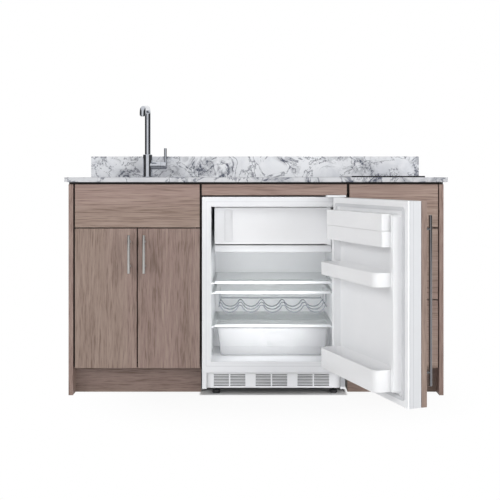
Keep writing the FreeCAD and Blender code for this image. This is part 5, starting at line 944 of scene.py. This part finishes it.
# Cabinet lamp: a small soft lamp in the plane of the refrigerator's opening lights the food
# space from the front, in a cone that leaves the frame round the opening alone.
CABINET_LAMP = (0.03, -0.622, 0.362)
CABINET_TARGET = (0.03, 0.4, 0.362)
soft_lamp("cabinet", CABINET_LAMP, (0.40, 0.40), 0.91, CABINET_TARGET, 130.0)

# Shelves: toughened glass panes that rest on the liner's ribs, each with a white moulded trim
# along its front edge.
pane_glass = moulded("pane_glass", (0.86, 0.92, 0.91, 1), (0.83, 0.90, 0.89, 1), 0.06,
                     0.000004, Alpha=0.22)
dress("shelf_panes", pane_glass)
dress("shelf_trims", shaded_trim_plastic)

# Bottle rack: chromed wires bent into five scallops, welded on two side wires that hang from
# the pane above by clips.
rack_chrome = metal("rack_chrome", (0.52, 0.54, 0.58, 1), (0.44, 0.46, 0.50, 1), 0.16, 0.04,
                    lines=200.0)
WIRE_RADIUS = 2.4
SCALLOPS = 5
SCALLOP_PITCH = 94.0
SCALLOP_DEPTH = 30.0
PEAK_RADIUS = 11.0
RACK_START = -162.0
RACK_LEVEL = 355.0
WIRE_LEVEL = 360.0
RACK_ROWS = (-494.0, -407.5, -321.0)
RAIL_FRONT, RAIL_LENGTH = -499.0, 309.0
STOP_PLACE = (RACK_START, -194.0, RACK_LEVEL - 5.0)
CLIP_ROWS = (-474.0, -326.0)
CLIP_HEIGHT = 60.0


def scalloped(y):
    """Wire path along X: arcs of the cradle radius below, joined by arcs of the peak radius
    above; x = centre + r sin t and z = centre -/+ r cos t, for t from -sweep to sweep."""
    reach = (SCALLOP_DEPTH ** 2 + (SCALLOP_PITCH / 2) ** 2) / (2 * SCALLOP_DEPTH)
    drop = reach - SCALLOP_DEPTH
    sweep = math.pi / 2 - math.atan2(drop, SCALLOP_PITCH / 2)
    turn = np.linspace(-sweep, sweep, 17)
    peak_x = RACK_START + SCALLOP_PITCH * np.arange(SCALLOPS + 1)
    dip_x = peak_x[:-1] + SCALLOP_PITCH / 2
    level = WIRE_LEVEL - PEAK_RADIUS
    cradle = reach - PEAK_RADIUS
    peaks = np.stack([(x + PEAK_RADIUS * np.sin(turn), level + PEAK_RADIUS * np.cos(turn))
                      for x in peak_x]).swapaxes(1, 2)
    dips = np.stack([(x + cradle * np.sin(turn), level + drop - cradle * np.cos(turn))
                     for x in dip_x]).swapaxes(1, 2)
    joined = np.concatenate([part for pair in zip(peaks[:-1, 1:], dips[:, 1:]) for part in pair]
                            + [peaks[-1, 1:]])[8:-8]
    return np.column_stack((joined[:, 0], np.full(len(joined), y), joined[:, 1]))


rack_length = SCALLOPS * SCALLOP_PITCH
rack_parts = [(carried(scalloped(y), BACK, WIRE_RADIUS, 14), *SOLID) for y in RACK_ROWS]
for rail_x in (RACK_START + WIRE_RADIUS, RACK_START + rack_length - WIRE_RADIUS):
    rack_parts.append(eased_rod((rail_x, RAIL_FRONT, RACK_LEVEL), BACK, RAIL_LENGTH, WIRE_RADIUS,
                                0.6, 16))
    rack_parts += [eased_rod((rail_x, y, RACK_LEVEL), UP, CLIP_HEIGHT, 1.6, 0.4, 12)
                   for y in CLIP_ROWS]
rack_parts.append(eased_rod(STOP_PLACE, RIGHT, rack_length, WIRE_RADIUS, 0.6, 16))
piece("bottle_rack", rack_parts, rack_chrome, "cabinetry", "wine_rack", 60.0)

# Crisper: a clear moulded drawer under the lowest shelf that tapers towards its foot, with a
# rolled rim and a grip block in front.
clear_plastic = moulded("clear_plastic", (0.79, 0.80, 0.82, 1), (0.75, 0.76, 0.78, 1), 0.16,
                        0.00001, Alpha=0.30)
CRISPER = (-167.0, 313.0, -497.0, -281.0)
CRISPER_LOW = 140.3
CRISPER_RISE = 122.0
CRISPER_SKEW = (12.0, 10.0)
CRISPER_GRIP = (-2.0, 148.0, -513.0, -496.0)
wall_share = np.linspace(0.0, 1.0, 7)[1:]


def drawer_ring(rise, grow, radius):
    """Crisper outline at a rise over its foot: both insets shrink in proportion to it."""
    over, under = (skew * (1 - rise / CRISPER_RISE) - grow for skew in CRISPER_SKEW)
    return at_level(corner_loop(CRISPER[0] + over, CRISPER[1] - over, CRISPER[2] + under,
                                CRISPER[3] - under, radius), CRISPER_LOW + rise)


crisper_steps = [(0.0, -5.0, 10.0), (1.4, -1.6, 12.6), (5.0, 0.0, 14.0)]
crisper_steps += [(5.0 + 113.0 * part, 0.0, 14.0) for part in wall_share]
crisper_steps += [(118.0, 4.6, 17.0), (119.0, 5.8, 18.0), (121.0, 6.0, 18.0), (121.8, 5.0, 17.0),
                  (122.0, 3.6, 16.0), (121.7, -1.6, 13.0), (120.6, -2.5, 12.0)]
crisper_steps += [(7.0 + 112.0 * part, -2.5, 12.0) for part in wall_share[::-1]]
crisper_steps += [(5.0, -4.0, 11.0), (2.6, -8.0, 9.0)]
grip_rings = [(4.0, 253.4, 3.0), (1.2, 253.8, 5.0), (0.0, 255.0, 6.0), (0.0, 261.0, 6.0),
              (0.8, 262.0, 5.4), (2.4, 262.3, 4.0)]
piece("crisper_tub",
      [(np.stack([drawer_ring(*step) for step in crisper_steps]), *SOLID),
       (stacked(*CRISPER_GRIP, grip_rings), *SOLID)],
      clear_plastic, "crisper", "crisper_drawer", 50.0)

# Refrigerator door: drawn closed and turned on its hinge pins to where it stands open. White
# steel case and moulded liner with two drafted ribs, a magnetic seal, and a wood-grain panel
# with a long pull bar screwed to its outer face.
PIN = np.array((359.0, -654.0, 0.0))
OPEN_ANGLE = math.radians(110.0)


def opened(grid):
    """Turn points about the hinge pins from the closed place to the rest place."""
    away = grid - PIN
    cos, sin = math.cos(OPEN_ANGLE), math.sin(OPEN_ANGLE)
    return np.stack((PIN[0] + away[..., 0] * cos - away[..., 1] * sin,
                     PIN[1] + away[..., 0] * sin + away[..., 1] * cos, grid[..., 2]), -1)


SEAM_NEAR, SEAM_FAR, SEAM_SOFT = 0.0128, 0.0142, 0.0004
DOOR_SEAM_SHARE = 0.55
# Painted shade: the case's enamel is darker than the cabinet's, to tone down its brightly lit free
# end.
door_white_shaded, door_tree, door_shader = material("door_white_shaded", Roughness=0.34)
door_depth = vector_maths(door_tree, "DOT_PRODUCT",
                          stretched(door_tree, shift=tuple(-PIN * MM)),
                          (-math.sin(OPEN_ANGLE), math.cos(OPEN_ANGLE), 0.0))
door_seam = maths(door_tree, "SUBTRACT",
                  span(door_tree, door_depth, SEAM_NEAR, SEAM_NEAR + SEAM_SOFT),
                  span(door_tree, door_depth, SEAM_FAR, SEAM_FAR + SEAM_SOFT))
coat(door_tree, door_shader,
     blend_colours(door_tree, maths(door_tree, "MULTIPLY", door_seam, DOOR_SEAM_SHARE),
                   (0.60, 0.61, 0.63, 1), (0.30, 0.31, 0.33, 1)),
     height=noise(door_tree, stretched(door_tree), SKIN_CELLS))
seal_rubber = moulded("seal_rubber", (0.66, 0.67, 0.69, 1), (0.62, 0.63, 0.65, 1), 0.55)
dress("fridge_door_case", door_white_shaded)
dress("fridge_door_liner", white_plastic)
dress("door_gasket", seal_rubber)

PANEL_FACE = -695.0
PANEL_BAR = ((-191.0, PANEL_FACE, 473.5), UP, FRONT, 612.0, 512.0, 36.0)
piece("door_pull_bar", [(opened(grid), *loops) for grid, *loops in pull_bar(*PANEL_BAR)],
      shaded_panel_steel, "fridge_door", "door_panel_handle")

# Door bins and dairy box: thin white translucent mouldings clipped between the door's ribs;
# the dairy box has a lid that flips up on two small axles.
bin_plastic = moulded("bin_plastic", (0.87, 0.875, 0.885, 1), (0.85, 0.855, 0.87, 1), 0.30,
                      0.00001)
BIN_BOX = (-158.7, 304.7, -617.7, -523.0)
BIN_WALL = 2.5
BINS = ((523.0, 52.0), (150.0, 80.0))


def door_bin(bottom, height):
    """Open bin: rounded rectangles up the outer wall, over a rolled rim and down inside."""
    steps = ((5.0, 0.0, 20.0), (1.4, 1.0, 23.0), (0.0, 4.0, 24.0), (0.0, height - 1.2, 24.0),
             (0.8, height, 24.0), (1.8, height, 23.0), (BIN_WALL, height - 1.2, 21.5),
             (BIN_WALL, 6.0, 21.5), (BIN_WALL + 3.0, BIN_WALL, 18.0))
    rings = stacked(*BIN_BOX, [(inset, bottom + rise, corner) for inset, rise, corner in steps])
    return opened(rings), *SOLID


piece("open_door_bins", [door_bin(*place) for place in BINS],
      bin_plastic, "fridge_door", "door_bins", 50.0)
dress("dairy_box dairy_lid", bin_plastic)
